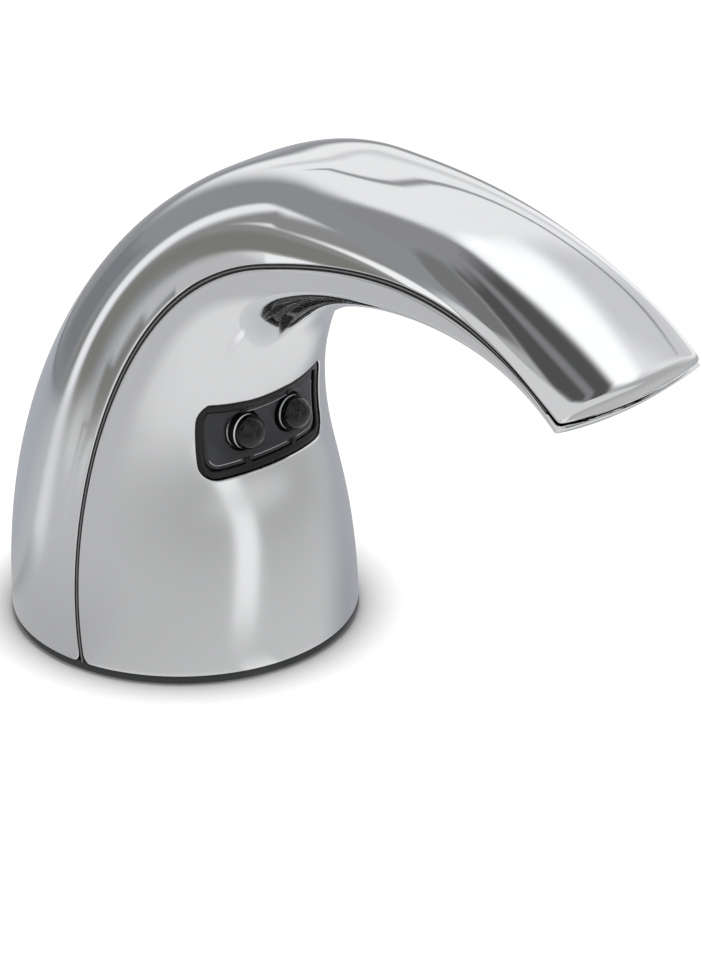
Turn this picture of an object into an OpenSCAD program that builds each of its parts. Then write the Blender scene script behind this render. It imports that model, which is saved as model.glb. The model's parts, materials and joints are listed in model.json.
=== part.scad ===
// Deck-mounted automatic soap dispenser head: two chromed half shells that meet
// at a seam and run out into a curved spout, an infrared sensor window, and a
// motor, gear train and tube pump inside.
// Frame: origin on the deck under the middle of the base, +Z up, spout along -Y.

/* [Outline] */
// Radius of the round base where the shells stand on the gasket
base_r = 42.5; // [40:0.5:45]
// Height of the crest of the back line above the base edge
crest_h = 131.4; // [128:0.2:136]
// Reach of that crest ahead of the middle of the base
crest_reach = 58.2; // [55:0.2:61]
// Reach of the spout tip ahead of the middle of the base
tip_reach = 141.5; // [136:0.5:148]
// Height of the spout tip above the base edge
tip_h = 100.6; // [98:0.2:103]
// Reach of the neck, the hollow of the front line
neck_reach = 30.6; // [29.6:0.2:31.6]
// Height of the neck above the base edge
neck_h = 59.8; // [58:0.2:62]
// Half width of the spout at its root
root_half_w = 23.6; // [22:0.1:25]
// Half width of the spout at its tip
tip_half_w = 23.3; // [22:0.1:25]
// How far the tip bows forward in plan
tip_bow = 3; // [1:0.5:5]

/* [Shells] */
// Wall of the two shells
shell_wall = 2.4; // [1.8:0.1:2.8]
// Gap between the shells along the seam
seam_gap = 1.2; // [0.7:0.1:1.6]
// Depth of the seam strip under the chromed surface
seam_recess = 0.6; // [0.3:0.1:1]
// Height of the blunt edge at the spout tip
tip_edge = 1.2; // [0.8:0.1:2]
// Radius of the screw bosses inside the shells
boss_r = 4; // [3:0.25:4.5]
// Height of the screw bosses
boss_h = 8; // [6:0.5:10]
// Distance of the screw bosses from the middle of the base
boss_place_r = 34; // [32:0.5:34.5]

/* [Base] */
// Height of the rubber gasket under the base
gasket_h = 2.2; // [1.5:0.1:4]
// Step from the chromed edge in to the gasket
gasket_inset = 0.8; // [0.3:0.1:1.5]
// Radius of the hole in the gasket
gasket_bore_r = 28; // [24:0.5:29]
// Thickness of the base plate
plate_t = 4; // [3:0.25:5]
// Radius of the threaded socket for the mounting shank
socket_r = 14; // [11:0.5:16]
// Depth of that socket
socket_depth = 11; // [8:0.5:12]
// Wall of the socket boss
socket_wall = 3.5; // [2.5:0.25:4]

/* [Sensor] */
// Height of the middle of the sensor window above the gear plate
window_lift = 10.9; // [9:0.1:12]
// Width of the sensor window
window_w = 40; // [38:0.5:44]
// Height of the sensor window
window_h = 20; // [18.5:0.5:23]
// Dip of its top edge in the middle
window_dip = 2.6; // [0.5:0.1:3]
// Corner radius of the sensor window
window_corner = 4.5; // [3:0.25:6]
// Border of the bezel around the smoked cover
bezel_border = 2; // [1.5:0.1:2.4]
// Step from the chromed surface in to the bezel face
bezel_recess = 0.5; // [0.2:0.1:0.9]
// Radius of the two lens domes
lens_r = 4.2; // [3.5:0.1:4.6]
// Distance between the two lenses
lens_pitch = 14.8; // [13:0.2:16]
// Radius of the infrared emitter and receiver behind the lenses
diode_r = 2.5; // [1.5:0.1:3]
// Thickness of the circuit boards
board_t = 1.6; // [1:0.1:2]

/* [Pump] */
// Offset of the pump axis from the middle of the base
axis_x = -4; // [-5:0.5:-3]
// Height of the pump floor above the deck
pump_z = 20; // [19:0.5:23]
// Radius of the race that backs the tube
race_r = 15.6; // [15:0.1:16.4]
// Outer diameter of the soap tube
tube_od = 5; // [4.2:0.1:5.4]
// Bore of the soap tube
tube_id = 3.2; // [2.4:0.1:3.4]
// Radius of the rollers
roller_r = 4; // [3.4:0.1:4.4]
// Height of the rollers
roller_h = 8; // [7:0.25:10]
// Radius of the roller pins
roller_pin_r = 1.5; // [1:0.1:1.8]
// Number of rollers
roller_count = 3; // [3:1:3]
// Radius of the rotor shaft
rotor_shaft_r = 2; // [1.5:0.1:2.5]
// Thickness of the pump floor, cover and gear plate
deck_t = 2.5; // [2:0.1:3]

/* [Gears] */
// Gear module, pitch diameter per tooth
gear_module = 0.8; // [0.7:0.02:0.84]
// Teeth of the two small gears
small_teeth = 10; // [10:1:10]
// Teeth of the two large gears
large_teeth = 30; // [30:1:30]
// Face width of the gears
gear_face = 3.7; // [3:0.1:4.5]
// Play taken off each tooth flank
gear_play = 0.13; // [0.1:0.01:0.2]

/* [Motor] */
// Radius of the motor can
motor_r = 12; // [10.5:0.25:12.5]
// Length of the motor can
motor_len = 28; // [24:0.5:30]
// Radius of the motor shaft
motor_shaft_r = 1; // [0.75:0.05:1.25]

/* [Control board] */
// Width of the control board
control_w = 28; // [24:0.5:30]
// Height of the control board
control_h = 20; // [17:0.5:22]

/* [Nozzle] */
// Radius of the nozzle barrel in the underside of the spout
nozzle_r = 4.5; // [3.8:0.1:5]
// Length of the barrel that shows under the spout
nozzle_drop = 1.5; // [0.5:0.1:2.5]

/* [Fasteners] */
// Radius of the screw shanks
screw_r = 1.45; // [1.2:0.05:1.6]
// Radius of the screw heads
head_r = 2.7; // [2.4:0.1:3]
// Height of the screw heads
head_h = 2; // [1.5:0.1:2.4]
// Radius of the small screws on the motor, sensor and boards
small_screw_r = 1; // [0.8:0.05:1.1]

/* [Hidden] */
$fn = 48;

// Running clearance of a pin or shaft, and the looser fit of a piece in its seat
running = 0.05;
seat = 0.15;
// Air between pieces that pass each other
air = 0.3;

// Levels of the pump and gears above the deck
floor_top = pump_z + deck_t;
disc_t = 1.5;
rotor_disc_z = floor_top + air;
roller_z = rotor_disc_z + disc_t + air;
rotor_hub_top = roller_z + roller_h + air;
cap_t = 1;
cover_z = rotor_hub_top + cap_t + air;
cover_top = cover_z + deck_t;
low_gear_z = cover_top + air;
high_gear_z = low_gear_z + gear_face + 2 * air;
gear_plate_z = high_gear_z + gear_face + 3 * air;
motor_z = gear_plate_z + deck_t;
tube_z = roller_z + roller_h / 2;

// Colours
chrome_colour = [0.80, 0.81, 0.82];
rubber_colour = [0.10, 0.10, 0.11];
black_colour = [0.08, 0.08, 0.09];
smoke_colour = [0.17, 0.18, 0.20];
lens_colour = [0.78, 0.82, 0.86];
steel_colour = [0.62, 0.63, 0.65];
white_colour = [0.88, 0.88, 0.86];
board_colour = [0.10, 0.32, 0.20];
tube_colour = [0.86, 0.87, 0.84];
brass_colour = [0.76, 0.62, 0.32];

// Shape of the outline: lean in degrees from upright and length of the curve handles.
// A fall is the reach of the last handle and its height as a share of the rise to the crest
back_lean = -5.9;
back_handles = [58.3, 51.7, 39.1];
back_end = [-0.8, 3.6];
back_fall = [32.4, 0.657];
side_lean = -8;
side_handles = [41.3, 52.2, 35.6];
side_knee_reach = 54.5;
side_knee_share = 0.2973;
side_knee_lean = 77;
side_fall = [21.6, 0.609];
front_lean = 0;
front_handles = [44, 20, 37.4];
front_end = [3.9, -3.4];
front_fall = [31.5, 0.84];
neck_station = 0.414;
// Fullness of the half width curve, and exponents of the rounded section
width_pull = [3.7, 2.3];
spout_pull = 0.7;
root_power = 3.2;
tip_power = 2.7;
under_power = 2.6;
// Rounder underside around the root of the spout, by stations
root_ease = 0.58;
ease_in = [0.55, 0.35];
ease_out = [1.05, 0.65];
// Offset of the seam from the widest line, from the base to the tip
seam_offsets = [-8.22, -2.46, -9.09, 15.39, -1.6, 0.4];
// Station where the tip rounds off, and where the hollow starts to close
nose_station = 1.98;
hollow_station = 1.72;
hollow_fade = 0.14;
// Rows along the shells, rows in the rounded tip, and facets on half a section
shell_rows = 30;
nose_rows = 4;
half_facets = 10;

function bezier(a, b, c, d, s) =
    pow(1 - s, 3) * a + 3 * pow(1 - s, 2) * s * b + 3 * (1 - s) * s * s * c + s * s * s * d;
function lean(angle) = [-sin(angle), cos(angle)];
function smooth(x) = let (c = min(max(x, 0), 1)) c * c * (3 - 2 * c);
function length_of(v) = sqrt(v * v);
function unit(v) = v / length_of(v);
// Two curves in the Y-Z plane that join smoothly at p1, for stations 0 to 2
rise = crest_h - tip_h;
function run(t, p0, d0, p1, d1, p2, fall, h) =
    t <= 1 ? bezier(p0, p0 + h[0] * d0, p1 - h[1] * d1, p1, t)
           : bezier(p1, p1 + h[2] * d1, p2 + [fall[0], fall[1] * rise], p2, t - 1);
tip_point = [-tip_reach, tip_h];
forward = [-1, 0];
upward = [0, 1];
function back_line(t) = run(t, [base_r, 0], lean(back_lean), [-crest_reach, crest_h], forward,
    tip_point + back_end, back_fall, back_handles);
function side_line(t) = run(t, [0, 0], lean(side_lean),
    [-side_knee_reach, crest_h - side_knee_share * (crest_h - neck_h)], lean(side_knee_lean),
    tip_point, side_fall, side_handles);
function front_station(t) =
    t < neck_station ? t / neck_station : 1 + (t - neck_station) / (2 - neck_station);
function front_line(t) = run(front_station(t), [-base_r, 0], lean(front_lean),
    [-neck_reach, neck_h], upward, tip_point + front_end, front_fall, front_handles);
function half_width(t) =
    t <= 1 ? bezier(base_r, base_r - width_pull[0], root_half_w + width_pull[1], root_half_w, t)
           : bezier(root_half_w, root_half_w - spout_pull, tip_half_w, tip_half_w, t - 1);
function top_power(t) =
    2 + (root_power - 2) * smooth(t) + (tip_power - root_power) * smooth(t - 1);
function low_power(t) = 2 + (under_power - 2) * smooth(t)
    - root_ease * smooth((t - ease_in[0]) / ease_in[1]) * (1 - smooth((t - ease_out[0]) / ease_out[1]));
function nose(t) =
    let (s = min(max((t - nose_station) / (2 - nose_station), 0), 1)) sqrt(1 - s * s);
// Reach of the section from its widest line to the top and to the underside
function top_reach(t) = max(length_of(back_line(t) - side_line(t)) * nose(t), tip_edge);
function low_reach(t) = length_of(front_line(t) - side_line(t));
function top_way(t) = unit(back_line(t) - side_line(t));
function low_way(t) = unit(front_line(t) - side_line(t));
// Seam: signed distance from the widest line, positive towards the top
function seam_offset(t) = let (u = t / 2, v = 1 - u, q = seam_offsets)
    pow(v, 5) * q[0] + 5 * pow(v, 4) * u * q[1] + 10 * pow(v, 3) * u * u * q[2]
    + 10 * v * v * pow(u, 3) * q[3] + 5 * v * pow(u, 4) * q[4] + pow(u, 5) * q[5];
function seam_shift(t) =
    let (d = seam_offset(t), w = unit(side_line(min(t + slope_step, 2)) - side_line(max(t - slope_step, 0))),
         way = d >= 0 ? top_way(t) : -low_way(t))
    d / max(way[0] * w[1] - way[1] * w[0], 0.3);
// Place on the section by its angle, -90 on the front line to 90 on the back line:
// half width and signed distance from the widest line
function section_x(t, a) =
    half_width(t) * pow(max(cos(a), 0), 2 / (a >= 0 ? top_power(t) : low_power(t)));
function section_s(t, a) =
    a >= 0 ? top_reach(t) * pow(sin(a), 2 / top_power(t))
           : -low_reach(t) * pow(sin(-a), 2 / low_power(t));
// Angle at a signed distance from the widest line
function turn_at(t, s) =
    s >= 0 ? asin(pow(min(s / top_reach(t), 1), top_power(t) / 2))
           : -asin(pow(min(-s / low_reach(t), 1), low_power(t) / 2));
bow_station = 1.5;
function bow_at(t) = tip_bow * smooth((t - bow_station) / (2 - bow_station));
function spot(t, x, s) =
    let (way = s >= 0 ? top_way(t) : -low_way(t), c = side_line(t),
         bow = bow_at(t) * (1 - pow(x / half_width(t), 2)))
    [x, c[0] + s * way[0] - bow, c[1] + s * way[1] + gasket_h];
function skin(t, a) = spot(t, section_x(t, a), section_s(t, a));
// Outward normal of the surface, and a point at a depth under it
slope_step = 0.004;
slope_turn = 0.2;
function normal(t, a) =
    unit(cross(skin(t, a + slope_turn) - skin(t, a - slope_turn),
               skin(min(t + slope_step, 2), a) - skin(max(t - slope_step, 0), a)));
function under(t, a, depth) =
    let (p = skin(t, a) - depth * normal(t, a)) t == 0 ? [p[0], p[1], gasket_h] : p;
stations = concat(
    [for (i = [0 : shell_rows]) nose_station * i / shell_rows],
    [for (i = [1 : nose_rows]) nose_station + (2 - nose_station) * sin(90 * i / nose_rows)]);
// How far the hollow is open at a station: 1 in the body, 0 in the solid tip
function hollow(t) = 1 - smooth((t - hollow_station) / hollow_fade);

// One row of a shell: the outer arc from seam to seam, then the inner arc back.
// side is 1 for the rear shell over the top and -1 for the front shell below.
function mirrored(p) = [-p[0], p[1], p[2]];
function shell_row(t, side) =
    let (edge = seam_shift(t) + side * seam_gap / 2, a = turn_at(t, edge),
         angles = [for (i = [0 : half_facets]) a + (side * 90 - a) * i / half_facets],
         open = hollow(t), share = 1 - shell_wall / half_width(t),
         outer = [for (g = angles) skin(t, g)],
         inner = [for (g = angles) let (closed = spot(t, share * section_x(t, g), edge))
             open == 0 ? closed : open * under(t, g, shell_wall) + (1 - open) * closed],
         last = half_facets - 1)
    concat(outer, [for (i = [last : -1 : 0]) mirrored(outer[i])],
           [for (p = inner) mirrored(p)], [for (i = [last : -1 : 0]) inner[i]]);

function flatten(lists) = [for (l = lists) each l];
// Closed skin over rows of equal closed loops, with caps that join a loop's first
// half to its second half
module loft(rows, flip = false) {
    n = len(rows[0]);
    half = n / 2;
    m = len(rows);
    sides = [for (r = [0 : m - 2], i = [0 : n - 1]) let (j = (i + 1) % n,
        a = r * n + i, b = r * n + j, c = (r + 1) * n + j, d = (r + 1) * n + i)
        each [[a, b, c], [a, c, d]]];
    first = [for (i = [0 : half - 2])
        each [[i, n - 1 - i, i + 1], [i + 1, n - 1 - i, n - 2 - i]]];
    shift = (m - 1) * n;
    end = [for (f = first) [f[0] + shift, f[2] + shift, f[1] + shift]];
    faces = concat(sides, first, end);
    polyhedron(flatten(rows), flip ? [for (f = faces) [f[0], f[2], f[1]]] : faces);
}

// Screw bosses of a shell and their pilot holes; their webs stop inside the wall
web_depth = 0.65;
boss_turn = 25;
module boss_places(side) {
    for (x = [-1, 1])
        rotate(side * (90 - x * (90 - boss_turn))) translate([boss_place_r, 0, plate_top]) children();
}
module bosses(side) {
    web = base_r - web_depth * shell_wall - boss_place_r;
    boss_places(side) {
        cylinder(h = boss_h, r = boss_r);
        translate([0, -boss_r / 2, 0]) cube([web, boss_r, boss_h]);
    }
}
module boss_holes(side) {
    boss_places(side) translate([0, 0, -air]) cylinder(h = boss_h + 2 * air, r = screw_r + running);
}

// Base stack heights, and the room round the plate for the lean of the shells
plate_top = gasket_h + plate_t;
plate_fit = 0.9;
plate_r = base_r - shell_wall - plate_fit;

module rear_shell() {
    color(chrome_colour) difference() {
        union() {
            loft([for (t = stations) shell_row(t, 1)], flip = true);
            bosses(1);
        }
        boss_holes(1);
    }
}

// Sensor frame: its origin on the front line, -Y along the surface normal
function front_at(z, low, high, turns) =
    let (mid = (low + high) / 2)
    turns == 0 ? mid
    : front_line(mid)[1] < z ? front_at(z, mid, high, turns - 1) : front_at(z, low, mid, turns - 1);
window_station = front_at(motor_z + window_lift - gasket_h, 0, 1, 24);
window_spot = front_line(window_station);
window_rise = front_line(window_station + 0.1) - front_line(window_station - 0.1);
window_tilt = atan2(window_rise[0], window_rise[1]);
module at_window() {
    translate([0, window_spot[0], window_spot[1] + gasket_h]) rotate([-window_tilt, 0, 0]) children();
}
module rounded_plate(w, h, r, from, to) {
    corner = min(r, min(w, h) / 2 - 0.01);
    translate([0, to, 0]) rotate([90, 0, 0]) linear_extrude(to - from) {
        square([w - 2 * corner, h], center = true);
        square([w, h - 2 * corner], center = true);
        for (x = [-1, 1], z = [-1, 1])
            translate([x * (w / 2 - corner), z * (h / 2 - corner)]) circle(corner);
    }
}
// Outline of the window, grown by a margin, with its dipped top edge
dip_r = (window_w * window_w / 4 + window_dip * window_dip) / (2 * window_dip);
module window_plate(grow, corner) {
    difference() {
        rounded_plate(window_w + 2 * grow, window_h + 2 * grow, corner, -window_reach / 2, window_reach);
        translate([0, 0, window_h / 2 - window_dip + dip_r]) rotate([90, 0, 0])
            cylinder(h = 4 * window_reach, r = dip_r - grow, center = true, $fn = 180);
    }
}
// Curved layer of the front surface around the window, between two depths under it
layer_stations = [for (i = [0 : 10]) window_station - 0.3 + 0.06 * i];
layer_facets = 12;
layer_turn = 56;
function layer_row(t, near, deep) =
    let (angles = [for (i = [0 : layer_facets]) layer_turn * (1 - 2 * i / layer_facets)])
    concat([for (g = angles) let (p = under(t, abs(g) - 90, near)) g < 0 ? mirrored(p) : p],
           [for (i = [layer_facets : -1 : 0]) let (g = angles[i], p = under(t, abs(g) - 90, deep))
               g < 0 ? mirrored(p) : p]);
module layer(near, deep) {
    loft([for (t = layer_stations) layer_row(t, near, deep)]);
}
window_reach = 16;

module front_shell() {
    color(chrome_colour) difference() {
        union() {
            loft([for (t = stations) shell_row(t, -1)]);
            bosses(-1);
        }
        boss_holes(-1);
        at_window() window_plate(0, window_corner);
        nozzle_place() cylinder(h = 4 * nozzle_flange_z, r = nozzle_r + seat, center = true);
    }
}

// Dark strip that closes the seam, one length on each side
strip_end = 1.95;
strip_stations = concat([for (t = stations) if (t < strip_end) t], [strip_end]);
function strip_row(t, x_side) =
    let (half = seam_gap / 2 - running, mid = seam_shift(t))
    [for (c = [[half, seam_recess], [half, shell_wall], [-half, shell_wall], [-half, seam_recess]])
        let (p = under(t, turn_at(t, mid + c[0]), c[1])) x_side < 0 ? mirrored(p) : p];
module seam_strip() {
    color(rubber_colour) for (x_side = [-1, 1])
        loft([for (t = strip_stations) strip_row(t, x_side)], flip = x_side > 0);
}

module base_gasket() {
    color(rubber_colour) difference() {
        cylinder(h = gasket_h, r = base_r - gasket_inset, $fn = 96);
        translate([0, 0, -1]) cylinder(h = gasket_h + 2, r = gasket_bore_r, $fn = 96);
    }
}

// Pump frame: three pillars carry the pump body, gears and motor
pillar_r = 4;
spacer_r = 3.5;
ear_r = 4.5;
pillar_turns = [0, 134, 226];
pump_wall = 6;
// Floor left under the rotor shaft
rotor_foot = 0.5;
pump_r = race_r + pump_wall;
pillar_place_r = pump_r + pillar_r;
module at_axis(z = 0) {
    translate([axis_x, 0, z]) children();
}
module pillar_places() {
    for (a = pillar_turns) rotate(a) translate([pillar_place_r, 0, 0]) children();
}

module base_plate() {
    color(steel_colour) difference() {
        union() {
            translate([0, 0, gasket_h]) cylinder(h = plate_t, r = plate_r, $fn = 96);
            translate([0, 0, gasket_h]) cylinder(h = socket_depth, r = socket_r + socket_wall);
            at_axis() pillar_places() translate([0, 0, gasket_h])
                cylinder(h = pump_z - gasket_h, r = pillar_r);
        }
        translate([0, 0, gasket_h - 1]) cylinder(h = socket_depth + 2, r = socket_r);
        at_axis() pillar_places() translate([0, 0, plate_top])
            cylinder(h = pump_z, r = screw_r + running);
        for (side = [-1, 1]) boss_places(side) {
            translate([0, 0, -plate_t - 1]) cylinder(h = plate_t + 2, r = screw_r + seat);
            translate([0, 0, -plate_t - 1]) cylinder(h = head_h + seat + 1, r = head_r + seat);
        }
    }
}

small_head_r = 1.8;
small_head_h = 1.3;
// A screw whose head stands on z = 0 and whose shank runs down
module screw(shank_r, crown_r, crown_h, len) {
    difference() {
        union() {
            cylinder(h = crown_h, r = crown_r);
            translate([0, 0, -len]) cylinder(h = len, r = shank_r);
        }
        translate([0, 0, crown_h / 2]) cylinder(h = crown_h, r = crown_r / 2, $fn = 6);
    }
}
module shell_screws() {
    color(steel_colour) for (side = [-1, 1]) boss_places(side)
        translate([0, 0, head_h - plate_t]) mirror([0, 0, 1])
            screw(screw_r, head_r, head_h, plate_t - head_h + boss_h - 1);
}

// Depths of the sensor stack, from the chromed surface inwards along the normal
cover_near = bezel_recess + 0.5;
cover_deep = cover_near + 1.4;
bezel_deep = shell_wall + 1.7;
flange_lap = 2.5;
ledge = 1;
lens_seat = 4.9;
// Length of the straight neck between a lens's flange and its dome
lens_neck = 4.9;
lens_flange_t = 1.2;
lens_flange_r = lens_r + 1.1;
holder_w = lens_pitch + 2 * lens_flange_r + 2;
holder_h = 2 * lens_flange_r + 2;
sensor_board_y = 10;
diode_len = sensor_board_y - lens_seat - lens_flange_t - air;
stud_x = window_w / 2 - 0.5;
stud_r = 2;
stud_len = 3;
module along_in(y) {
    translate([0, y, 0]) rotate([-90, 0, 0]) children();
}
module sensor_bezel() {
    color(black_colour) difference() {
        union() {
            intersection() {
                layer(bezel_recess, bezel_deep);
                at_window() window_plate(-seat, window_corner - seat);
            }
            intersection() {
                layer(shell_wall + air, bezel_deep);
                at_window() window_plate(flange_lap, window_corner + flange_lap);
            }
            difference() {
                at_window() for (x = [-1, 1]) translate([x * stud_x, 0, 0])
                    along_in(sensor_board_y - stud_len) cylinder(h = stud_len, r = stud_r);
                layer(-2, shell_wall + air);
            }
        }
        at_window() window_plate(-bezel_border - ledge, window_corner - ledge);
        intersection() {
            layer(-2, cover_deep + running);
            at_window() window_plate(-bezel_border, window_corner - ledge);
        }
        at_window() for (x = [-1, 1]) translate([x * stud_x, 0, 0])
            along_in(sensor_board_y + air - stud_len) cylinder(h = stud_len, r = small_screw_r + running);
    }
}
module sensor_cover() {
    color(smoke_colour) difference() {
        intersection() {
            layer(cover_near, cover_deep);
            at_window() window_plate(-bezel_border - seat, window_corner - ledge - seat);
        }
        at_window() for (x = [-1, 1]) translate([x * lens_pitch / 2, 0, 0])
            along_in(-window_reach / 2) cylinder(h = window_reach, r = lens_r + seat);
    }
}
// A clear dome on a neck and a round flange
module lens(x_side) {
    color(lens_colour) at_window() translate([x_side * lens_pitch / 2, 0, 0]) along_in(lens_seat) {
        intersection() {
            translate([0, 0, -lens_neck]) sphere(lens_r);
            translate([0, 0, -lens_neck - lens_r]) cylinder(h = lens_r, r = lens_r + 1);
        }
        translate([0, 0, -lens_neck]) cylinder(h = lens_neck + lens_flange_t / 2, r = lens_r);
        cylinder(h = lens_flange_t, r = lens_flange_r);
    }
}
module lens_emitter() { lens(-1); }
module lens_receiver() { lens(1); }
module lens_holder() {
    color(black_colour) at_window() difference() {
        rounded_plate(holder_w, holder_h, lens_flange_r, lens_seat, sensor_board_y);
        for (x = [-1, 1]) translate([x * lens_pitch / 2, 0, 0]) {
            along_in(lens_seat - 1) cylinder(h = lens_flange_t + seat + 1, r = lens_flange_r + seat);
            along_in(lens_seat) cylinder(h = window_reach, r = diode_r + seat);
        }
    }
}
// An infrared diode: a round body with a flat collar against the board
module diode(x_side) {
    color(black_colour) at_window() translate([x_side * lens_pitch / 2, 0, 0])
        along_in(sensor_board_y - diode_len) cylinder(h = diode_len, r = diode_r);
}
module ir_emitter() { diode(-1); }
module ir_receiver() { diode(1); }
sensor_board_w = 2 * stud_x + 5;
sensor_board_h = holder_h + 1;
module sensor_board() {
    color(board_colour) at_window() difference() {
        union() {
            rounded_plate(holder_w, sensor_board_h, stud_r, sensor_board_y, sensor_board_y + board_t);
            rounded_plate(sensor_board_w, 2 * stud_r + 2, stud_r, sensor_board_y, sensor_board_y + board_t);
        }
        for (x = [-1, 1]) translate([x * stud_x, 0, 0])
            along_in(sensor_board_y - 1) cylinder(h = board_t + 2, r = small_screw_r + seat);
    }
}
module sensor_screws() {
    color(steel_colour) at_window() for (x = [-1, 1]) translate([x * stud_x, 0, 0])
        along_in(sensor_board_y + board_t) screw(small_screw_r, small_head_r, small_head_h, board_t + stud_len - 2 * air);
}

// The tube lies flat between the rollers and the race
flat_t = tube_od - tube_id + 0.4;
flat_h = 1.3 * tube_od;
sweep_r = race_r - flat_t - 2 * air;
roller_place_r = sweep_r - roller_r;
leg_y = sweep_r + air + tube_od / 2;
leg_end = pump_r + 3;
leg_start = 1.3;
disc_r = sweep_r - 0.6;
hub_r = roller_place_r - roller_r - air;
module leg_places() {
    for (y = [-1, 1]) translate([0, y * leg_y, tube_z]) rotate([0, 90, 0]) children();
}

module ear_outline(r) {
    circle(r, $fn = 96);
    for (a = pillar_turns) rotate(a) {
        translate([pillar_place_r, 0]) circle(ear_r);
        translate([0, -ear_r]) square([pillar_place_r, 2 * ear_r]);
    }
}
module pillar_holes(from, to) {
    pillar_places() translate([0, 0, from]) cylinder(h = to - from, r = screw_r + 2 * running);
}
module pump_body() {
    color(white_colour) at_axis() difference() {
        translate([0, 0, pump_z]) linear_extrude(cover_z - pump_z) ear_outline(pump_r);
        translate([0, 0, floor_top]) cylinder(h = cover_z, r = race_r, $fn = 96);
        translate([0, 0, pump_z + rotor_foot]) cylinder(h = deck_t + 1, r = rotor_shaft_r + running);
        leg_places() translate([0, 0, -leg_start]) cylinder(h = leg_end + 2 * leg_start, r = tube_od / 2 + seat);
        pillar_holes(pump_z - 1, cover_z + 1);
    }
}
gear_gap = gear_module * (small_teeth + large_teeth) / 2;
gear_pin_r = 1.5;
pin_seat = deck_t - 0.7;
module pump_cover() {
    color(white_colour) at_axis() difference() {
        translate([0, 0, cover_z]) linear_extrude(deck_t) ear_outline(pump_r);
        translate([0, 0, cover_z - 1]) cylinder(h = deck_t + 2, r = rotor_shaft_r + running);
        translate([-gear_gap, 0, cover_top - pin_seat])
            cylinder(h = deck_t, r = gear_pin_r + running);
        pillar_holes(cover_z - 1, cover_top + 1);
    }
}
module pump_tube() {
    flat_mid = race_r - air / 2 - flat_t / 2;
    color(tube_colour) at_axis() difference() {
        union() {
            translate([0, 0, tube_z]) rotate(90) rotate_extrude(angle = 180, $fn = 96)
                translate([flat_mid, 0]) square([flat_t, flat_h], center = true);
            leg_places() translate([0, 0, air - leg_start])
                cylinder(h = leg_end + leg_start - air, r = tube_od / 2);
        }
        leg_places() translate([0, 0, 2]) cylinder(h = leg_end, r = tube_id / 2);
    }
}
// A barbed elbow: one barb in the pump tube, the other up or down
elbow_r = tube_od / 2 + 0.3;
barb_r = tube_id / 2 - running;
barb_len = 5;
barb_wall = 0.6;
elbow_x = axis_x + leg_end + elbow_r + seat;
elbow_drop = 8;
module elbow(y_side, z_side) {
    bore_r = barb_r - barb_wall;
    color(white_colour) translate([elbow_x, y_side * leg_y, tube_z]) difference() {
        union() {
            sphere(elbow_r);
            rotate([0, -90, 0]) cylinder(h = elbow_r, r = elbow_r);
            rotate([0, -90, 0]) cylinder(h = elbow_r + barb_len, r = barb_r);
            mirror([0, 0, z_side < 0 ? 1 : 0]) {
                cylinder(h = elbow_r + 1, r = elbow_r);
                cylinder(h = elbow_drop, r = barb_r);
            }
        }
        rotate([0, -90, 0]) cylinder(h = elbow_r + barb_len + 1, r = bore_r);
        mirror([0, 0, z_side < 0 ? 1 : 0]) cylinder(h = elbow_drop + 1, r = bore_r);
    }
}
module inlet_elbow() { elbow(-1, -1); }
module outlet_elbow() { elbow(1, 1); }

module roller_places() {
    for (i = [0 : roller_count - 1]) rotate(360 * i / roller_count)
        translate([roller_place_r, 0, 0]) children();
}
rotor_shaft_z = pump_z + rotor_foot + air;
rotor_shaft_top = low_gear_z + gear_face + air;
module pump_rotor() {
    color(white_colour) at_axis() {
        translate([0, 0, rotor_shaft_z]) cylinder(h = rotor_shaft_top - rotor_shaft_z, r = rotor_shaft_r);
        translate([0, 0, rotor_disc_z]) cylinder(h = disc_t, r = disc_r);
        translate([0, 0, rotor_disc_z]) cylinder(h = rotor_hub_top - rotor_disc_z, r = hub_r);
        roller_places() translate([0, 0, rotor_disc_z])
            cylinder(h = rotor_hub_top + cap_t - rotor_disc_z, r = roller_pin_r);
    }
}
module rotor_cap() {
    color(white_colour) at_axis(rotor_hub_top) difference() {
        cylinder(h = cap_t, r = disc_r);
        translate([0, 0, -1]) cylinder(h = cap_t + 2, r = rotor_shaft_r + running);
        roller_places() translate([0, 0, -1]) cylinder(h = cap_t + 2, r = roller_pin_r + running);
    }
}
module roller(i) {
    color(steel_colour) at_axis(roller_z) rotate(360 * i / roller_count)
        translate([roller_place_r, 0, 0]) difference() {
            cylinder(h = roller_h, r = roller_r);
            translate([0, 0, -1]) cylinder(h = roller_h + 2, r = roller_pin_r + running);
        }
}
module roller_1() { roller(0); }
module roller_2() { roller(1); }
module roller_3() { roller(2); }

// Involute spur gear outline
pressure_angle = 20;
addendum = 0.85;
dedendum = 1.25;
function involute(angle) = tan(angle) * 180 / PI - angle;
function flank_turn(teeth, r) =
    let (pitch_r = gear_module * teeth / 2, core_r = pitch_r * cos(pressure_angle),
         at = r <= core_r ? 0 : acos(core_r / r))
    90 / teeth - gear_play / pitch_r * 180 / PI + involute(pressure_angle) - involute(at);
function tooth(teeth, turn) =
    let (pitch_r = gear_module * teeth / 2, root = pitch_r - dedendum * gear_module,
         tip = pitch_r + addendum * gear_module, low = max(pitch_r * cos(pressure_angle), root + running),
         radii = [root, low, (low + pitch_r) / 2, pitch_r, (pitch_r + tip) / 2, tip])
    concat([for (r = radii) let (a = turn - flank_turn(teeth, r)) r * [cos(a), sin(a)]],
           [for (i = [len(radii) - 1 : -1 : 0]) let (a = turn + flank_turn(teeth, radii[i]))
               radii[i] * [cos(a), sin(a)]]);
module gear(teeth, h, bore_r, turn = 0) {
    rotate(turn) linear_extrude(h) difference() {
        polygon([for (i = [0 : teeth - 1]) each tooth(teeth, 360 * i / teeth)]);
        circle(bore_r);
    }
}
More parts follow.
